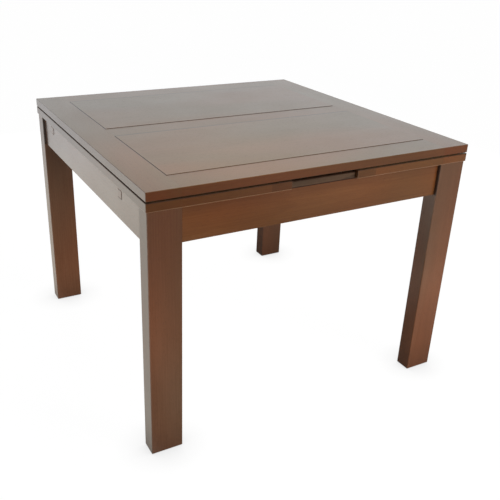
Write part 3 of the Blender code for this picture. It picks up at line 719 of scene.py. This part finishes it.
STAINED = Wood(
    slot="frame_wood",
    dark=(0.144, 0.056, 0.025),
    middle=(0.192, 0.081, 0.038),
    light=(0.250, 0.112, 0.058),
    pore=(0.030, 0.011, 0.006),
    fibre_contrast=0.5,
    mottle_contrast=0.7,
    # Painted shade along the feet.
    lower_arris_shade=0.9,
    # Painted shade: the legs are darker towards the aprons.
    upper_shade=0.34,
    upper_reach=0.38,
    floor_darkening_height=0.12,
)
TOP_STAINED = Wood(
    slot="top_wood",
    dark=(0.128, 0.068, 0.022),
    middle=(0.166, 0.092, 0.033),
    light=(0.212, 0.124, 0.051),
    pore=(0.034, 0.014, 0.008),
    coat=0.16,
    side_shade=(0.72, 0.42, 0.32),
    # Painted shade along the top's lower edges, in the gap over the leaves.
    lower_arris_shade=0.9,
    end_darkening=0.0,
)
LEAF_STAINED = replace(
    TOP_STAINED,
    side_shade=(0.72, 0.40, 0.24),
    lower_arris_shade=0.0,
    # Painted shade along the leaf's upper edges, in the gap under the top.
    upper_arris_shade=0.95,
    # Painted highlight along the leaf's rounded lower edges.
    lower_arris_highlight=1.0,
)
APRON_STAINED = replace(
    STAINED,
    dark=(0.120, 0.036, 0.008),
    middle=(0.172, 0.0565, 0.0145),
    light=(0.235, 0.088, 0.027),
    lower_arris_shade=0.0,
    # Painted shade along the apron's upper edge, under the leaf.
    upper_arris_shade=0.9,
    # Painted shade: the aprons are darker under the leaves' edges.
    upper_shade=0.24,
    upper_reach=0.036,
    floor_darkening_height=0.0,
)
END_APRON_STAINED = replace(APRON_STAINED, coat=0.42, upper_arris_shade=0.0, upper_shade=0.0)
# The centre board's end sits back under the top: its darker, greener tone is partly its own stain and partly
# painted shade, and its edges carry painted shade too.
CENTRE_STAINED = replace(
    APRON_STAINED,
    dark=(0.048, 0.031, 0.018),
    middle=(0.066, 0.043, 0.026),
    light=(0.092, 0.061, 0.037),
    ring_contrast=0.7,
    roughness=0.42,
    coat=0.0,
    upper_shade=0.0,
    lower_arris_shade=0.8,
    upper_arris_shade=0.8,
)
# Painted shade along the runner's lower edge.
RUNNER_STAINED = replace(END_APRON_STAINED, wear_share=0.45, lower_arris_shade=0.9)
BARE = Wood(
    slot="inner_wood",
    dark=(0.400, 0.255, 0.135),
    middle=(0.540, 0.375, 0.220),
    light=(0.660, 0.490, 0.320),
    pore=(0.200, 0.115, 0.058),
    roughness=0.66,
    coat=0.0,
    ring_contrast=0.30,
    fibre_contrast=0.50,
    mottle_contrast=0.40,
    pore_share=0.50,
    end_darkening=0.18,
    wear_share=0.10,
)
FELT = Felt()
ZINC = ZincPlate()
PLASTIC = MouldedPlastic()


@dataclass(frozen=True)
class Board:
    """A CAD node of wood, the way that its grain runs, and the panels or aprons that it meets."""

    node: str
    grain: Axis
    wood: Wood
    panels: tuple[str, ...] = ()
    aprons: tuple[str, ...] = ()

    def dress(self, seed: int) -> None:
        """Give the node its own piece of wood.

        Args:
            seed: picks the board out of the stack.
        """
        plank = Plank(f"{self.node}_wood", self.wood, self.grain, Box.of(self.node), seed)
        panels, aprons = ([Box.of(name) for name in names] for names in (self.panels, self.aprons))
        put_on(self.node, plank.finish(panels, aprons))
        LOG.info("dressed %s, grain along %s", self.node, self.grain.name)


def put_on(node: str, material: bpy.types.Material) -> None:
    """Assign a material to every slot of a CAD node."""
    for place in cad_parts[node].material_slots:
        place.material = material


def cover(node: str, finish: Felt | ZincPlate | MouldedPlastic) -> None:
    """Give a CAD node a finish that needs no board."""
    put_on(node, finish.material(f"{node}_{finish.label}"))
    LOG.info("dressed %s in %s", node, finish.label)


def add_object(name: str, data: bpy.types.ID) -> bpy.types.Object:
    """Put a new object into the scene, at the origin.

    Args:
        name: its name.
        data: its mesh, camera or light.

    Returns:
        The object.
    """
    made = bpy.data.objects.new(name, data)
    bpy.context.scene.collection.objects.link(made)
    return made


def object_from(bm: bmesh.types.BMesh, name: str, smooth: bool = True) -> bpy.types.Object:
    """Turn a bmesh into an object at the origin.

    Args:
        bm: the bmesh, which is freed.
        name: the object's name.
        smooth: whether its faces are shaded smooth.

    Returns:
        The object.
    """
    mesh = bpy.data.meshes.new(name)
    bm.to_mesh(mesh)
    bm.free()
    if smooth:
        mesh.shade_smooth()
    return add_object(name, mesh)


def settle(obj: bpy.types.Object) -> None:
    """Replace an object's mesh by what its modifiers make of it, and remove them.

    Args:
        obj: the object.
    """
    bpy.context.view_layer.update()
    evaluated = obj.evaluated_get(bpy.context.evaluated_depsgraph_get())
    mesh = bpy.data.meshes.new_from_object(evaluated)
    obj.modifiers.clear()
    obj.data = mesh


class Kind(Enum):
    """The kinds of fixing that are put in their places as copies of one master."""

    SHORT_SCREW = 0
    LONG_SCREW = 1
    COUNTERSUNK_SCREW = 2
    THREAD = 3


@dataclass(frozen=True)
class Fixing:
    """One fixing: its kind, where its head sits and which way it looks out."""

    kind: Kind
    seat: Vector
    outwards: Vector


@dataclass(frozen=True)
class ScrewShape:
    """A turned screw with a cross recess, its head's seat at the origin and looking to +Z."""

    head_radius: float = 0.0042
    head_height: float = 0.0026
    shank_radius: float = 0.0019
    shank_length: float = 0.0096
    tip_height: float = 0.001
    tip_share: float = 0.75
    countersunk: bool = False
    rim_drop: float = 0.0003
    face_drop: float = 0.0001
    face_share: float = 0.96
    seat_height: float = 0.00002
    crown_share: float = 0.65
    crown_degrees: tuple[float, ...] = (0, 20, 40, 60, 78)
    recess_length: float = 0.0046
    recess_width: float = 0.0009
    recess_depth: float = 0.0016
    sharp_degrees: float = 32
    sides: int = 24

    def profile(self) -> list[tuple[float, float]]:
        """Work out the profile.

        Returns:
            The radius and height of each of its turns, from the tip to the crown.
        """
        shank = [(self.shank_radius * self.tip_share, -self.shank_length)]
        shank.append((self.shank_radius, self.tip_height - self.shank_length))
        if self.countersunk:
            cone = self.head_radius - self.shank_radius
            rim = (self.head_radius, -self.rim_drop)
            face = (self.head_radius * self.face_share, -self.face_drop)
            return [*shank, (self.shank_radius, -self.rim_drop - cone), rim, face]
        drop = self.head_height * self.crown_share
        crown = [
            (
                self.head_radius * (1 - self.crown_share + self.crown_share * math.cos(angle)),
                self.head_height - drop + drop * math.sin(angle),
            )
            for angle in map(math.radians, self.crown_degrees)
        ]
        seat = [(radius, self.seat_height) for radius in (self.shank_radius, self.head_radius)]
        return [*shank, *seat, *crown]

    def cutter(self, name: str, turn: float) -> bpy.types.Object:
        """Add one bar of the cross that is sunk into the head.

        Args:
            name: its name.
            turn: how far it is turned.

        Returns:
            The bar.
        """
        bm = bmesh.new()
        bmesh.ops.create_cube(bm, size=1)
        size = (self.recess_length, self.recess_width, 2 * self.recess_depth)
        bmesh.ops.scale(bm, vec=size, verts=bm.verts)
        made = object_from(bm, name)
        top = max(height for _, height in self.profile())
        made.matrix_world = Matrix.Translation((0, 0, top)) @ Matrix.Rotation(turn, 4, "Z")
        return made

    def add(self, name: str) -> bpy.types.Object:
        """Turn the screw and sink its cross recess.

        Args:
            name: the master's name.

        Returns:
            The master.
        """
        bm = bmesh.new()
        turns = []
        for radius, height in self.profile():
            made = bmesh.ops.create_circle(bm, cap_ends=False, segments=self.sides, radius=radius)
            bmesh.ops.translate(bm, vec=(0, 0, height), verts=made["verts"])
            turns.append(made["verts"])
        for lower, upper in zip(turns, turns[1:]):
            for number in range(self.sides):
                after = (number + 1) % self.sides
                bm.faces.new((lower[number], lower[after], upper[after], upper[number]))
        bm.faces.new(turns[0])
        bm.faces.new(turns[-1])
        bmesh.ops.recalc_face_normals(bm, faces=bm.faces)
        screw = object_from(bm, name)
        cutters = [self.cutter(f"{name}_recess", turn) for turn in (0, math.pi / 2)]
        for cutter in cutters:
            boolean = screw.modifiers.new("recess", "BOOLEAN")
            boolean.operation = "DIFFERENCE"
            boolean.solver = "EXACT"
            boolean.object = cutter
        settle(screw)
        screw.data.set_sharp_from_angle(angle=math.radians(self.sharp_degrees))
        for cutter in cutters:
            bpy.data.objects.remove(cutter, do_unlink=True)
        return screw


class FixingTree(Tree):
    """The Geometry Nodes that put a master on every point, turned at random about its own axis."""

    SPIRAL_STEPS = 20
    RIDGE_SIDES = 3
    RIDGE_RADIUS = 0.00045

    def __init__(self) -> None:
        """Build the tree and its inputs."""
        super().__init__(bpy.data.node_groups.new("fixings", "GeometryNodeTree"))
        self.inputs: dict[str, str] = {}
        sockets = {"Geometry": "Geometry", "Finish": "Material", "Seed": "Int"}
        sockets |= {kind.name: "Object" for kind in Kind if kind is not Kind.THREAD}
        sockets |= {f"Thread {part}": "Float" for part in THREAD_PARTS}
        new_socket = self.tree.interface.new_socket
        for name, kind in sockets.items():
            made = new_socket(name, in_out="INPUT", socket_type=f"NodeSocket{kind}")
            self.inputs[name] = made.identifier
        new_socket("Geometry", in_out="OUTPUT", socket_type="NodeSocketGeometry")
        self.start = self.tree.nodes.new("NodeGroupInput").outputs
        placed = [self.place(kind) for kind in Kind]
        joined = self.node("GeometryNodeJoinGeometry")
        for copies in placed:
            self.tree.links.new(copies, joined.inputs[0])
        real = self.node("GeometryNodeRealizeInstances", None, [joined.outputs[0]])
        inputs = {"Geometry": real.outputs[0], "Material": self.start["Finish"]}
        dressed = self.node("GeometryNodeSetMaterial", None, inputs)
        self.node("NodeGroupOutput", None, [dressed.outputs[0]])

    def attribute(self, name: str, data_type: str) -> Socket:
        """Return what a named attribute says at each point."""
        made = self.node("GeometryNodeInputNamedAttribute", {"data_type": data_type}, {"Name": name})
        return made.outputs["Attribute"]

    def thread(self) -> Socket:
        """Wind the ridge of a thread, which follows a spiral down from the origin.

        Returns:
            The ridge.
        """
        length, radius, pitch = (self.start[f"Thread {part}"] for part in THREAD_PARTS)
        turns, down = (
            self.node("ShaderNodeMath", {"operation": how}, [length, by]).outputs[0]
            for how, by in (("DIVIDE", pitch), ("MULTIPLY", -1.0))
        )
        inputs = {"Resolution": self.SPIRAL_STEPS, "Rotations": turns, "Height": down}
        inputs |= {"Start Radius": radius, "End Radius": radius}
        spiral = self.node("GeometryNodeCurveSpiral", None, inputs)
        inputs = {"Resolution": self.RIDGE_SIDES, "Radius": self.RIDGE_RADIUS}
        ridge = self.node("GeometryNodeCurvePrimitiveCircle", None, inputs)
        inputs = {0: spiral.outputs[0], 1: ridge.outputs[0], "Fill Caps": True}
        made = self.node("GeometryNodeCurveToMesh", None, inputs)
        return self.node("GeometryNodeGeometryToInstance", None, [made.outputs[0]]).outputs[0]

    def place(self, kind: Kind) -> Socket:
        """Put the master of one kind on the points of that kind.

        Args:
            kind: the kind.

        Returns:
            The copies.
        """
        if kind is Kind.THREAD:
            master = self.thread()
        else:
            inputs = {"Object": self.start[kind.name], "As Instance": True}
            master = self.node("GeometryNodeObjectInfo", None, inputs).outputs["Geometry"]
        settings = {"data_type": "INT", "operation": "EQUAL"}
        inputs = {2: self.attribute("kind", "INT"), 3: kind.value}
        same = self.node("FunctionNodeCompare", settings, inputs)
        inputs = {"Vector": self.attribute("outwards", "FLOAT_VECTOR")}
        upright = self.node("FunctionNodeAlignRotationToVector", {"axis": "Z"}, inputs)
        inputs = {3: 2 * math.pi, "Seed": self.start["Seed"]}
        spin = self.node("FunctionNodeRandomValue", {"data_type": "FLOAT"}, inputs)
        about = self.node("ShaderNodeCombineXYZ", None, [0.0, 0.0, spin.outputs[1]])
        turn = self.node("FunctionNodeEulerToRotation", None, [about.outputs[0]])
        inputs = [upright.outputs[0], turn.outputs[0]]
        turned = self.node("FunctionNodeRotateRotation", {"rotation_space": "LOCAL"}, inputs)
        inputs = {"Points": self.start["Geometry"], "Selection": same.outputs[0]}
        inputs |= {"Instance": master, "Rotation": turned.outputs[0]}
        return self.node("GeometryNodeInstanceOnPoints", None, inputs).outputs[0]


@dataclass
class Fixings:
    """Screws and threads of the whole table, made as one mesh for each body."""

    long_shank: float = 0.0225
    countersunk_shank: float = 0.0175
    thread_length: float = 0.0150
    thread_radius: float = 0.0039
    thread_pitch: float = 0.00125
    seed: int = 7

    def __post_init__(self) -> None:
        """Make the masters and the tree."""
        countersunk = ScrewShape(countersunk=True, shank_length=self.countersunk_shank)
        self.masters = {
            Kind.SHORT_SCREW: ScrewShape().add("short_screw"),
            Kind.LONG_SCREW: ScrewShape(shank_length=self.long_shank).add("long_screw"),
            Kind.COUNTERSUNK_SCREW: countersunk.add("flat_screw"),
        }
        self.tree = FixingTree()

    def add(self, body: str, fixings: list[Fixing]) -> None:
        """Put the fixings of one body in their places.

        Args:
            body: the body that they ride on.
            fixings: the fixings.
        """
        name = f"{body}_fixings"
        mesh = bpy.data.meshes.new(name)
        mesh.from_pydata([fixing.seat for fixing in fixings], [], [])
        kinds = mesh.attributes.new("kind", "INT", "POINT")
        kinds.data.foreach_set("value", [fixing.kind.value for fixing in fixings])
        ways = mesh.attributes.new("outwards", "FLOAT_VECTOR", "POINT")
        ways.data.foreach_set("vector", [part for fixing in fixings for part in fixing.outwards])
        made = add_object(name, mesh)
        modifier = made.modifiers.new("fixings", "NODES")
        modifier.node_group = self.tree.tree
        values = {"Finish": ZINC.material(f"{name}_{ZINC.label}"), "Seed": self.seed}
        values |= {kind.name: master for kind, master in self.masters.items()}
        values |= {f"Thread {part}": vars(self)[f"thread_{part}"] for part in THREAD_PARTS}
        for key, value in values.items():
            modifier[self.tree.inputs[key]] = value
        settle(made)
        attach(made, body)
        LOG.info("added %s: %d fixings, %d faces", name, len(fixings), len(made.data.polygons))

    def clear(self) -> None:
        """Remove the masters, once every body has its fixings."""
        for master in self.masters.values():
            bpy.data.objects.remove(master, do_unlink=True)


@dataclass(frozen=True)
class GlueLines:
    """The glue in the butt joints between the rails and the stiles of a frame, level with the wood."""

    rails: tuple[str, ...]
    wood: Wood
    shrinkage: float = 0.00004
    edge_from: float = 0.45
    arris_steps: int = 3

    def add(self, body: str, seed: int) -> None:
        """Fill the joint at both ends of every rail.

        Args:
            body: the body that the lines ride on.
            seed: picks the tone.
        """
        bm = bmesh.new()
        for rail in self.rails:
            for side in (-1, 1):
                self.fill(bm, Box.of(rail), side)
        made = object_from(bm, f"{body}_glue_lines", smooth=False)
        box = Box(Vector(made.bound_box[0]), Vector(made.bound_box[6]))
        made.data.materials.append(Plank(f"{body}_glue", self.wood, Axis.Y, box, seed).finish())
        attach(made, body)
        LOG.info("added %s at the ends of %d rails", made.name, len(self.rails))

    def fill(self, bm: bmesh.types.BMesh, rail: Box, side: int) -> None:
        """Add the glue at one end of a rail, rounded with the wood where it ends at the table's edge.

        Args:
            bm: what it is added to.
            rail: the rail's box.
            side: -1 for the left end, 1 for the right one.
        """
        end = rail.low.x if side < 0 else rail.high.x
        middle = Vector((end + side * SEAT_GAP / 2, rail.centre().y, rail.centre().z))
        size = rail.size()
        size.x = SEAT_GAP
        size -= Vector((1, 1, 1)) * 2 * self.shrinkage
        made = bmesh.ops.create_cube(bm, size=1)["verts"]
        bmesh.ops.scale(bm, vec=size, verts=made)
        bmesh.ops.translate(bm, vec=middle, verts=made)
        outer = max(abs(vert.co.y) for vert in made)
        if outer < self.edge_from:
            return
        edges = {edge for vert in made for edge in vert.link_edges}
        outer_edges = [
            edge
            for edge in edges
            if all(abs(abs(vert.co.y) - outer) < SEAT_GAP for vert in edge.verts)
            and abs(edge.verts[0].co.z - edge.verts[1].co.z) < SEAT_GAP
        ]
        shape = {"offset": ARRIS, "offset_type": "OFFSET", "segments": self.arris_steps}
        bmesh.ops.bevel(bm, geom=outer_edges, affect="EDGES", **shape)


@dataclass
class FramedTop:
    """The loose top: a frame with a centre rail, two panels, two pegs and its felt strips."""

    seeds: Iterator[int]
    body: str = "top"

    def dress(self) -> None:
        """Dress every piece of the top."""
        both = ("top_panel_front", "top_panel_back")
        boards = [Board(f"top_stile_{side}", Axis.Y, TOP_STAINED, both) for side in SIDES]
        boards.append(Board("top_rail_centre", Axis.X, TOP_STAINED, both))
        for place, panel in zip(DEPTHS, both):
            names = (f"top_rail_{place}", panel)
            boards += [Board(name, Axis.X, TOP_STAINED, (panel,)) for name in names]
        boards += [Board(f"top_peg_{side}", Axis.Z, BARE) for side in SIDES]
        for board in boards:
            board.dress(next(self.seeds))
        for side in SIDES:
            cover(f"felt_strip_{side}", FELT)
        rails = ("top_rail_front", "top_rail_centre", "top_rail_back")
        GlueLines(rails, TOP_STAINED).add(self.body, next(self.seeds))


@dataclass
class DrawLeaf:
    """A leaf: a frame and its panel, on two lopers with their stops."""

    side: str
    seeds: Iterator[int]
    # Painted light: the leaf's wood is lightened by this factor, and its inner stile darkened further as
    # painted shade.
    shade: float
    inner_painted_shade: float = 0.80
    screw_end_margin: float = 0.045
    screw_last: float = 0.3293
    pocket_depth: float = 0.012

    @property
    def body(self) -> str:
        """Return the name of the leaf's body."""
        return f"{self.side}_leaf"

    def dress(self) -> None:
        """Dress every piece of the leaf."""
        wood = LEAF_STAINED.with_painted_light(self.shade)
        pieces = {
            "outer_stile": (Axis.Y, wood),
            "inner_stile": (Axis.Y, wood.with_painted_light(self.inner_painted_shade)),
            "front_rail": (Axis.X, wood),
            "back_rail": (Axis.X, wood),
            "panel": (Axis.X, wood),
        }
        panel = (f"{self.body}_panel",)
        boards = [Board(f"{self.body}_{name}", *piece, panel) for name, piece in pieces.items()]
        for place in DEPTHS:
            loper = f"{self.body}_{place}_loper"
            boards += [Board(loper, Axis.X, RUNNER_STAINED), Board(f"{loper}_stop", Axis.X, BARE)]
        for board in boards:
            board.dress(next(self.seeds))
        rails = tuple(f"{self.body}_{place}_rail" for place in DEPTHS)
        GlueLines(rails, wood).add(self.body, next(self.seeds))

    def fixings(self) -> list[Fixing]:
        """Place the screws that hold the lopers to the leaf.

        Returns:
            The screws.
        """
        found = []
        for place in DEPTHS:
            box = Box.of(f"{self.body}_{place}_loper")
            end, inwards = (box.low.x, 1) if self.side == "left" else (box.high.x, -1)
            middle = (self.screw_end_margin + self.screw_last) / 2
            for distance in (self.screw_end_margin, middle, self.screw_last):
                seat = (end + inwards * distance, box.centre().y, box.low.z + self.pocket_depth)
                found.append(Fixing(Kind.LONG_SCREW, Vector(seat), Vector((0, 0, -1))))
        return found


@dataclass
class UnderFrame:
    """What stays put: legs, aprons, cross rail, centre board and the fixings of each corner."""

    seeds: Iterator[int]
    body: str = "frame"
    block_edge_margin: float = 0.018
    block_tip_margin: float = 0.022
    block_grip: float = 0.010
    board_edge_margin: float = 0.040
    board_from_middle: float = 0.180
    bolt_radius: float = 0.004
    bolt_chamfer: float = 0.0012
    # Painted light and shade: each leg's wood is made lighter or darker by how light falls on it, in the
    # order of CORNERS.
    leg_shades: tuple[float, ...] = (0.96, 1.7, 0.98, 0.79)

    def fixings(self) -> list[Fixing]:
        """Return every screw and thread of the frame."""
        corners = [[*self.block_screws(corner), self.thread(corner)] for corner in CORNERS]
        return sum(corners, self.board_screws())

    def board_screws(self) -> list[Fixing]:
        """Place the countersunk screws that hold the centre board down.

        Returns:
            The screws.
        """
        board = Box.of("centre_board")
        over_apron = Box.of("apron_back").centre().y
        apart = board.high.x - self.board_edge_margin
        places = [(x, y) for x in (-apart, apart) for y in (-over_apron, over_apron)]
        places += [(0.0, -self.board_from_middle), (0.0, self.board_from_middle)]
        up = Vector((0, 0, 1))
        return [Fixing(Kind.COUNTERSUNK_SCREW, Vector((x, y, board.high.z)), up) for x, y in places]

    @staticmethod
    def corner_sides(box: Box) -> tuple[Vector, Vector, Vector]:
        """Find which way a corner piece looks, seen from above.

        Args:
            box: its box.

        Returns:
            Its outer corner, its inner one and its signs.
        """
        middle = box.centre()
        signs = Vector((math.copysign(1, middle.x), math.copysign(1, middle.y), 0))
        outer = Vector(high if sign > 0 else low for low, high, sign in zip(box.low, box.high, signs))
        return outer, 2 * middle - outer, signs

    def block_screws(self, corner: str) -> list[Fixing]:
        """Place the four screws of a corner block, two into each of its aprons.

        Args:
            corner: the corner's name.

        Returns:
            The screws.
        """
        box = Box.of(f"corner_block_{corner}")
        outer, inner, signs = self.corner_sides(box)
        seat = outer + (SEAT_GAP - self.block_grip) * signs
        line = inner + self.block_tip_margin * signs
        found = []
        for z in (box.low.z + self.block_edge_margin, box.high.z - self.block_edge_margin):
            side, end = Vector((line.x, seat.y, z)), Vector((seat.x, line.y, z))
            found.append(Fixing(Kind.SHORT_SCREW, side, Vector((0, -signs.y, 0))))
            found.append(Fixing(Kind.SHORT_SCREW, end, Vector((-signs.x, 0, 0))))
        return found

    def thread(self, corner: str) -> Fixing:
        """Place the thread of a hanger bolt, which starts just below the bolt's chamfered end.

        Args:
            corner: the corner's name.

        Returns:
            The thread.
        """
        block, bolt = Box.of(f"corner_block_{corner}").size(), Box.of(f"hanger_bolt_{corner}")
        _, _, signs = self.corner_sides(bolt)
        way = Vector((block.y + SEAT_GAP, block.x + SEAT_GAP, 0)).normalized()
        length = (bolt.size().x - 2 * self.bolt_radius * way.y) / way.x
        inwards = Vector((-signs.x * way.x, -signs.y * way.y, 0))
        return Fixing(Kind.THREAD, bolt.centre() + inwards * (length / 2 - self.bolt_chamfer), inwards)

    def dress(self) -> None:
        """Dress every piece of the frame."""
        boards = []
        # Painted light and shade on each leg.
        for corner, shade in zip(CORNERS, self.leg_shades):
            aprons = tuple(f"apron_{side}" for side in corner.split("_"))
            boards.append(Board(f"leg_{corner}", Axis.Z, STAINED.with_painted_light(shade), aprons=aprons))
        boards += [Board(f"apron_{side}", Axis.X, APRON_STAINED) for side in DEPTHS]
        boards += [Board(f"apron_{side}", Axis.Y, END_APRON_STAINED) for side in SIDES]
        boards += [Board("centre_board", Axis.X, CENTRE_STAINED), Board("cross_rail", Axis.Y, BARE)]
        boards += [Board(f"corner_block_{corner}", Axis.X, BARE) for corner in CORNERS]
        for board in boards:
            board.dress(next(self.seeds))
        for side in SIDES:
            cover(f"centre_felt_strip_{side}", FELT)
        for corner in CORNERS:
            for piece, finish in (("glide", PLASTIC), ("hanger_bolt", ZINC), ("flange_nut", ZINC)):
                cover(f"{piece}_{corner}", finish)


@dataclass(frozen=True)
class Lamp:
    """A soft square lamp: where it stands, the point that it faces, its side and its power."""

    name: str
    place: Triple
    aim: Triple
    size: float
    watts: float

    def add(self) -> None:
        """Add the lamp, which neither the camera nor reflections show."""
        data = bpy.data.lights.new(self.name, "AREA")
        data.size, data.energy = self.size, self.watts
        lamp = add_object(self.name, data)
        lamp.visible_camera = lamp.visible_glossy = False
        lamp.location = self.place
        lamp.rotation_euler = (Vector(self.aim) - Vector(self.place)).to_track_quat("-Z", "Y").to_euler()


LAMPS = (
    Lamp("key", (1.1, -2.2, 1.15), (0, 0, 0.4), 0.9, 24),
    Lamp("over", (-0.22, -0.43, 1.36), (-0.22, -0.38, 0.7), 0.3, 2.9),
    Lamp("low", (-0.35, -2.5, 0.5), (-0.2, 0, 0.4), 0.6, 9.5),
    Lamp("back", (0.2, 2.8, 0.55), (0, 0, 0.5), 0.7, 22),
    Lamp("right", (2.8, 0.6, 0.55), (0, 0, 0.5), 0.7, 18),
)


@dataclass
class Studio:
    """The camera of the photograph, soft lamps, a pale floor and a white surround."""

    camera_place: Triple = (-1.0164, -1.8340, 1.2951)
    camera_turn_degrees: Triple = (65.259, -1.828, -28.494)
    lens: float = 48.56
    sensor: float = 36.0
    shift: Pair = (0.0315, -0.0130)
    floor_half: float = 30.0
    floor_albedo: float = 0.75
    camera_floor: float = 1.07
    camera_floor_share: float = 0.92
    # Reach and depth of the painted contact shadow on the floor.
    contact_reach: float = 0.10
    contact_dimming: float = 0.35
    # How the floor glows in reflections, as a painted reflection: dim at the front, brighter to the left and
    # under the table.
    dim_gloss: float = 0.22
    bright_gloss: float = 1.20
    left_edge: Pair = (-0.56, -0.44)
    far_left: Pair = (-1.4, -0.7)
    far_gain: float = 0.68
    under_glow: Pair = (0.10, 0.15)
    under_radii: Pair = (0.12, 0.45)
    under_share: float = 0.54
    side_fade: float = 0.36
    side_fade_depths: Pair = (1.3, 3.3)
    front_gloss: Pair = (0.15, 0.46)
    front_gloss_places: Pair = (0.35, 1.0)
    warm_glow: Colour = (1.0, 0.97, 0.87)
    warm_depths: Pair = (1.1, 3.0)
    horizon_low: float = 0.80
    horizon_high: float = 1.42
    horizon_heights: Pair = (0.36, 0.12)
    horizon_side_gain: float = 0.10
    horizon_sides: Pair = (0.5, 0.7)
    front_dimming: Pair = (-0.65, -0.15)
    ambient: float = 0.13

    def add_camera(self) -> None:
        """Add the camera."""
        data = bpy.data.cameras.new("camera")
        data.lens = self.lens
        data.sensor_width = self.sensor
        data.shift_x, data.shift_y = self.shift
        camera = add_object("camera", data)
        camera.location = self.camera_place
        camera.rotation_euler = [math.radians(turn) for turn in self.camera_turn_degrees]
        bpy.context.scene.camera = camera

    @staticmethod
    def seen_by(graph: Graph) -> tuple[Value, Value]:
        """Tell the rays apart that a glow is seen by.

        Args:
            graph: the glow's nodes.

        Returns:
            1 for what the camera sees, straight or through glass, and 1 for reflections.
        """
        rays = graph.node("ShaderNodeLightPath").outputs
        camera, glass, gloss = (
            Value(graph, rays[f"Is {kind} Ray"]) for kind in ("Camera", "Transmission", "Glossy")
        )
        return camera.at_least(glass), gloss

    def mirrored_floor(self, x: Value, y: Value) -> Value:
        """Return how bright the floor glows in reflections, as a painted reflection.

        Args:
            x: the place on the floor, to the right.
            y: the place on the floor, to the back.

        Returns:
            The brightness: dim at the front, brighter to the left and under the table.
        """
        at_left = 1 - x.from_to(*self.left_edge)
        off_x, off_y = x - self.under_glow[0], y - self.under_glow[1]
        under = 1 - ((off_x * off_x + off_y * off_y) ** 0.5).from_to(*self.under_radii)
        gain = self.bright_gloss - self.dim_gloss
        mirrored = gain * at_left.at_least(self.under_share * under)
        mirrored = mirrored + self.far_gain * (1 - x.from_to(*self.far_left))
        left_gloss, right_gloss = self.front_gloss
        more = (right_gloss - left_gloss) * x.from_to(*self.front_gloss_places)
        mirrored = mirrored + left_gloss + more
        return mirrored - self.side_fade * y.from_to(*self.side_fade_depths) * at_left

    def add_floor(self) -> None:
        """Add the floor: white to the camera but for a faint shadow, partly real and partly a painted
        contact shadow, and dim in reflections at the front.
        """
        bm = bmesh.new()
        bmesh.ops.create_grid(bm, x_segments=1, y_segments=1, size=self.floor_half)
        floor = object_from(bm, "floor", smooth=False)
        graph = Graph.of_material("floor_paint")
        paint = (*(self.floor_albedo,) * 3, 1.0)
        lit = graph.node("ShaderNodeBsdfDiffuse", None, {"Color": paint})
        to_camera, to_gloss = self.seen_by(graph)
        # Painted contact shadow: the floor's glow to the camera dims where the table closes it in.
        open_sky = graph.node("ShaderNodeAmbientOcclusion", None, {"Distance": self.contact_reach})
        contact = 1 - Value(graph, open_sky.outputs["AO"])
        x, y, _ = graph.split(graph.at())
        # Painted reflection: reflections see the floor glow, warmer nearer the table.
        tone = graph.blend(y.from_to(*self.warm_depths), self.warm_glow, WHITE)
        tone = graph.blend(to_camera, tone, WHITE)
        strength = (self.camera_floor - self.contact_dimming * contact) * to_camera
        strength = strength + to_gloss * self.mirrored_floor(x, y)
        share = self.camera_floor_share * to_camera + to_gloss
        glow = graph.node("ShaderNodeEmission", None, {"Color": tone, "Strength": strength})
        graph.end_in(graph.node("ShaderNodeMixShader", None, [share, lit.outputs[0], glow.outputs[0]]))
        floor.data.materials.append(graph.owner)

    def light_world(self) -> None:
        """Surround the table with white, dimmer for soft light and for reflections of the front."""
        world = bpy.data.worlds.new("studio")
        bpy.context.scene.world = world
        graph = Graph(world)
        to_camera, to_gloss = self.seen_by(graph)
        sideways, ahead, up = graph.split(graph.at("Generated"))
        height = up.from_to(*self.horizon_heights)
        horizon = self.horizon_low + (self.horizon_high - self.horizon_low) * height
        horizon = horizon * (1 + self.horizon_side_gain * sideways.from_to(*self.horizon_sides))
        mirrored = self.dim_gloss + (horizon - self.dim_gloss) * ahead.from_to(*self.front_dimming)
        strength = to_camera + to_gloss * mirrored + (1 - to_camera - to_gloss) * self.ambient
        inputs = {"Color": (*WHITE, 1.0), "Strength": strength}
        graph.end_in(graph.node("ShaderNodeBackground", None, inputs))

    def build(self) -> None:
        """Set up the studio."""
        bpy.context.scene.view_settings.view_transform = "Standard"
        self.add_camera()
        for lamp in LAMPS:
            lamp.add()
        self.add_floor()
        self.light_world()


def main() -> None:
    """Dress the table and set up the studio."""
    logging.basicConfig(level=logging.INFO, format="%(name)s: %(message)s")
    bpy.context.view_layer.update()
    seeds = itertools.count(1)
    FramedTop(seeds).dress()
    fixings = Fixings()
    # Painted light: the right leaf's wood is made lighter.
    leaves = (DrawLeaf("left", seeds, shade=1.0), DrawLeaf("right", seeds, shade=1.25))
    for part in (*leaves, UnderFrame(seeds)):
        part.dress()
        fixings.add(part.body, part.fixings())
    fixings.clear()
    Studio().build()


if __name__ == "__main__":
    main()
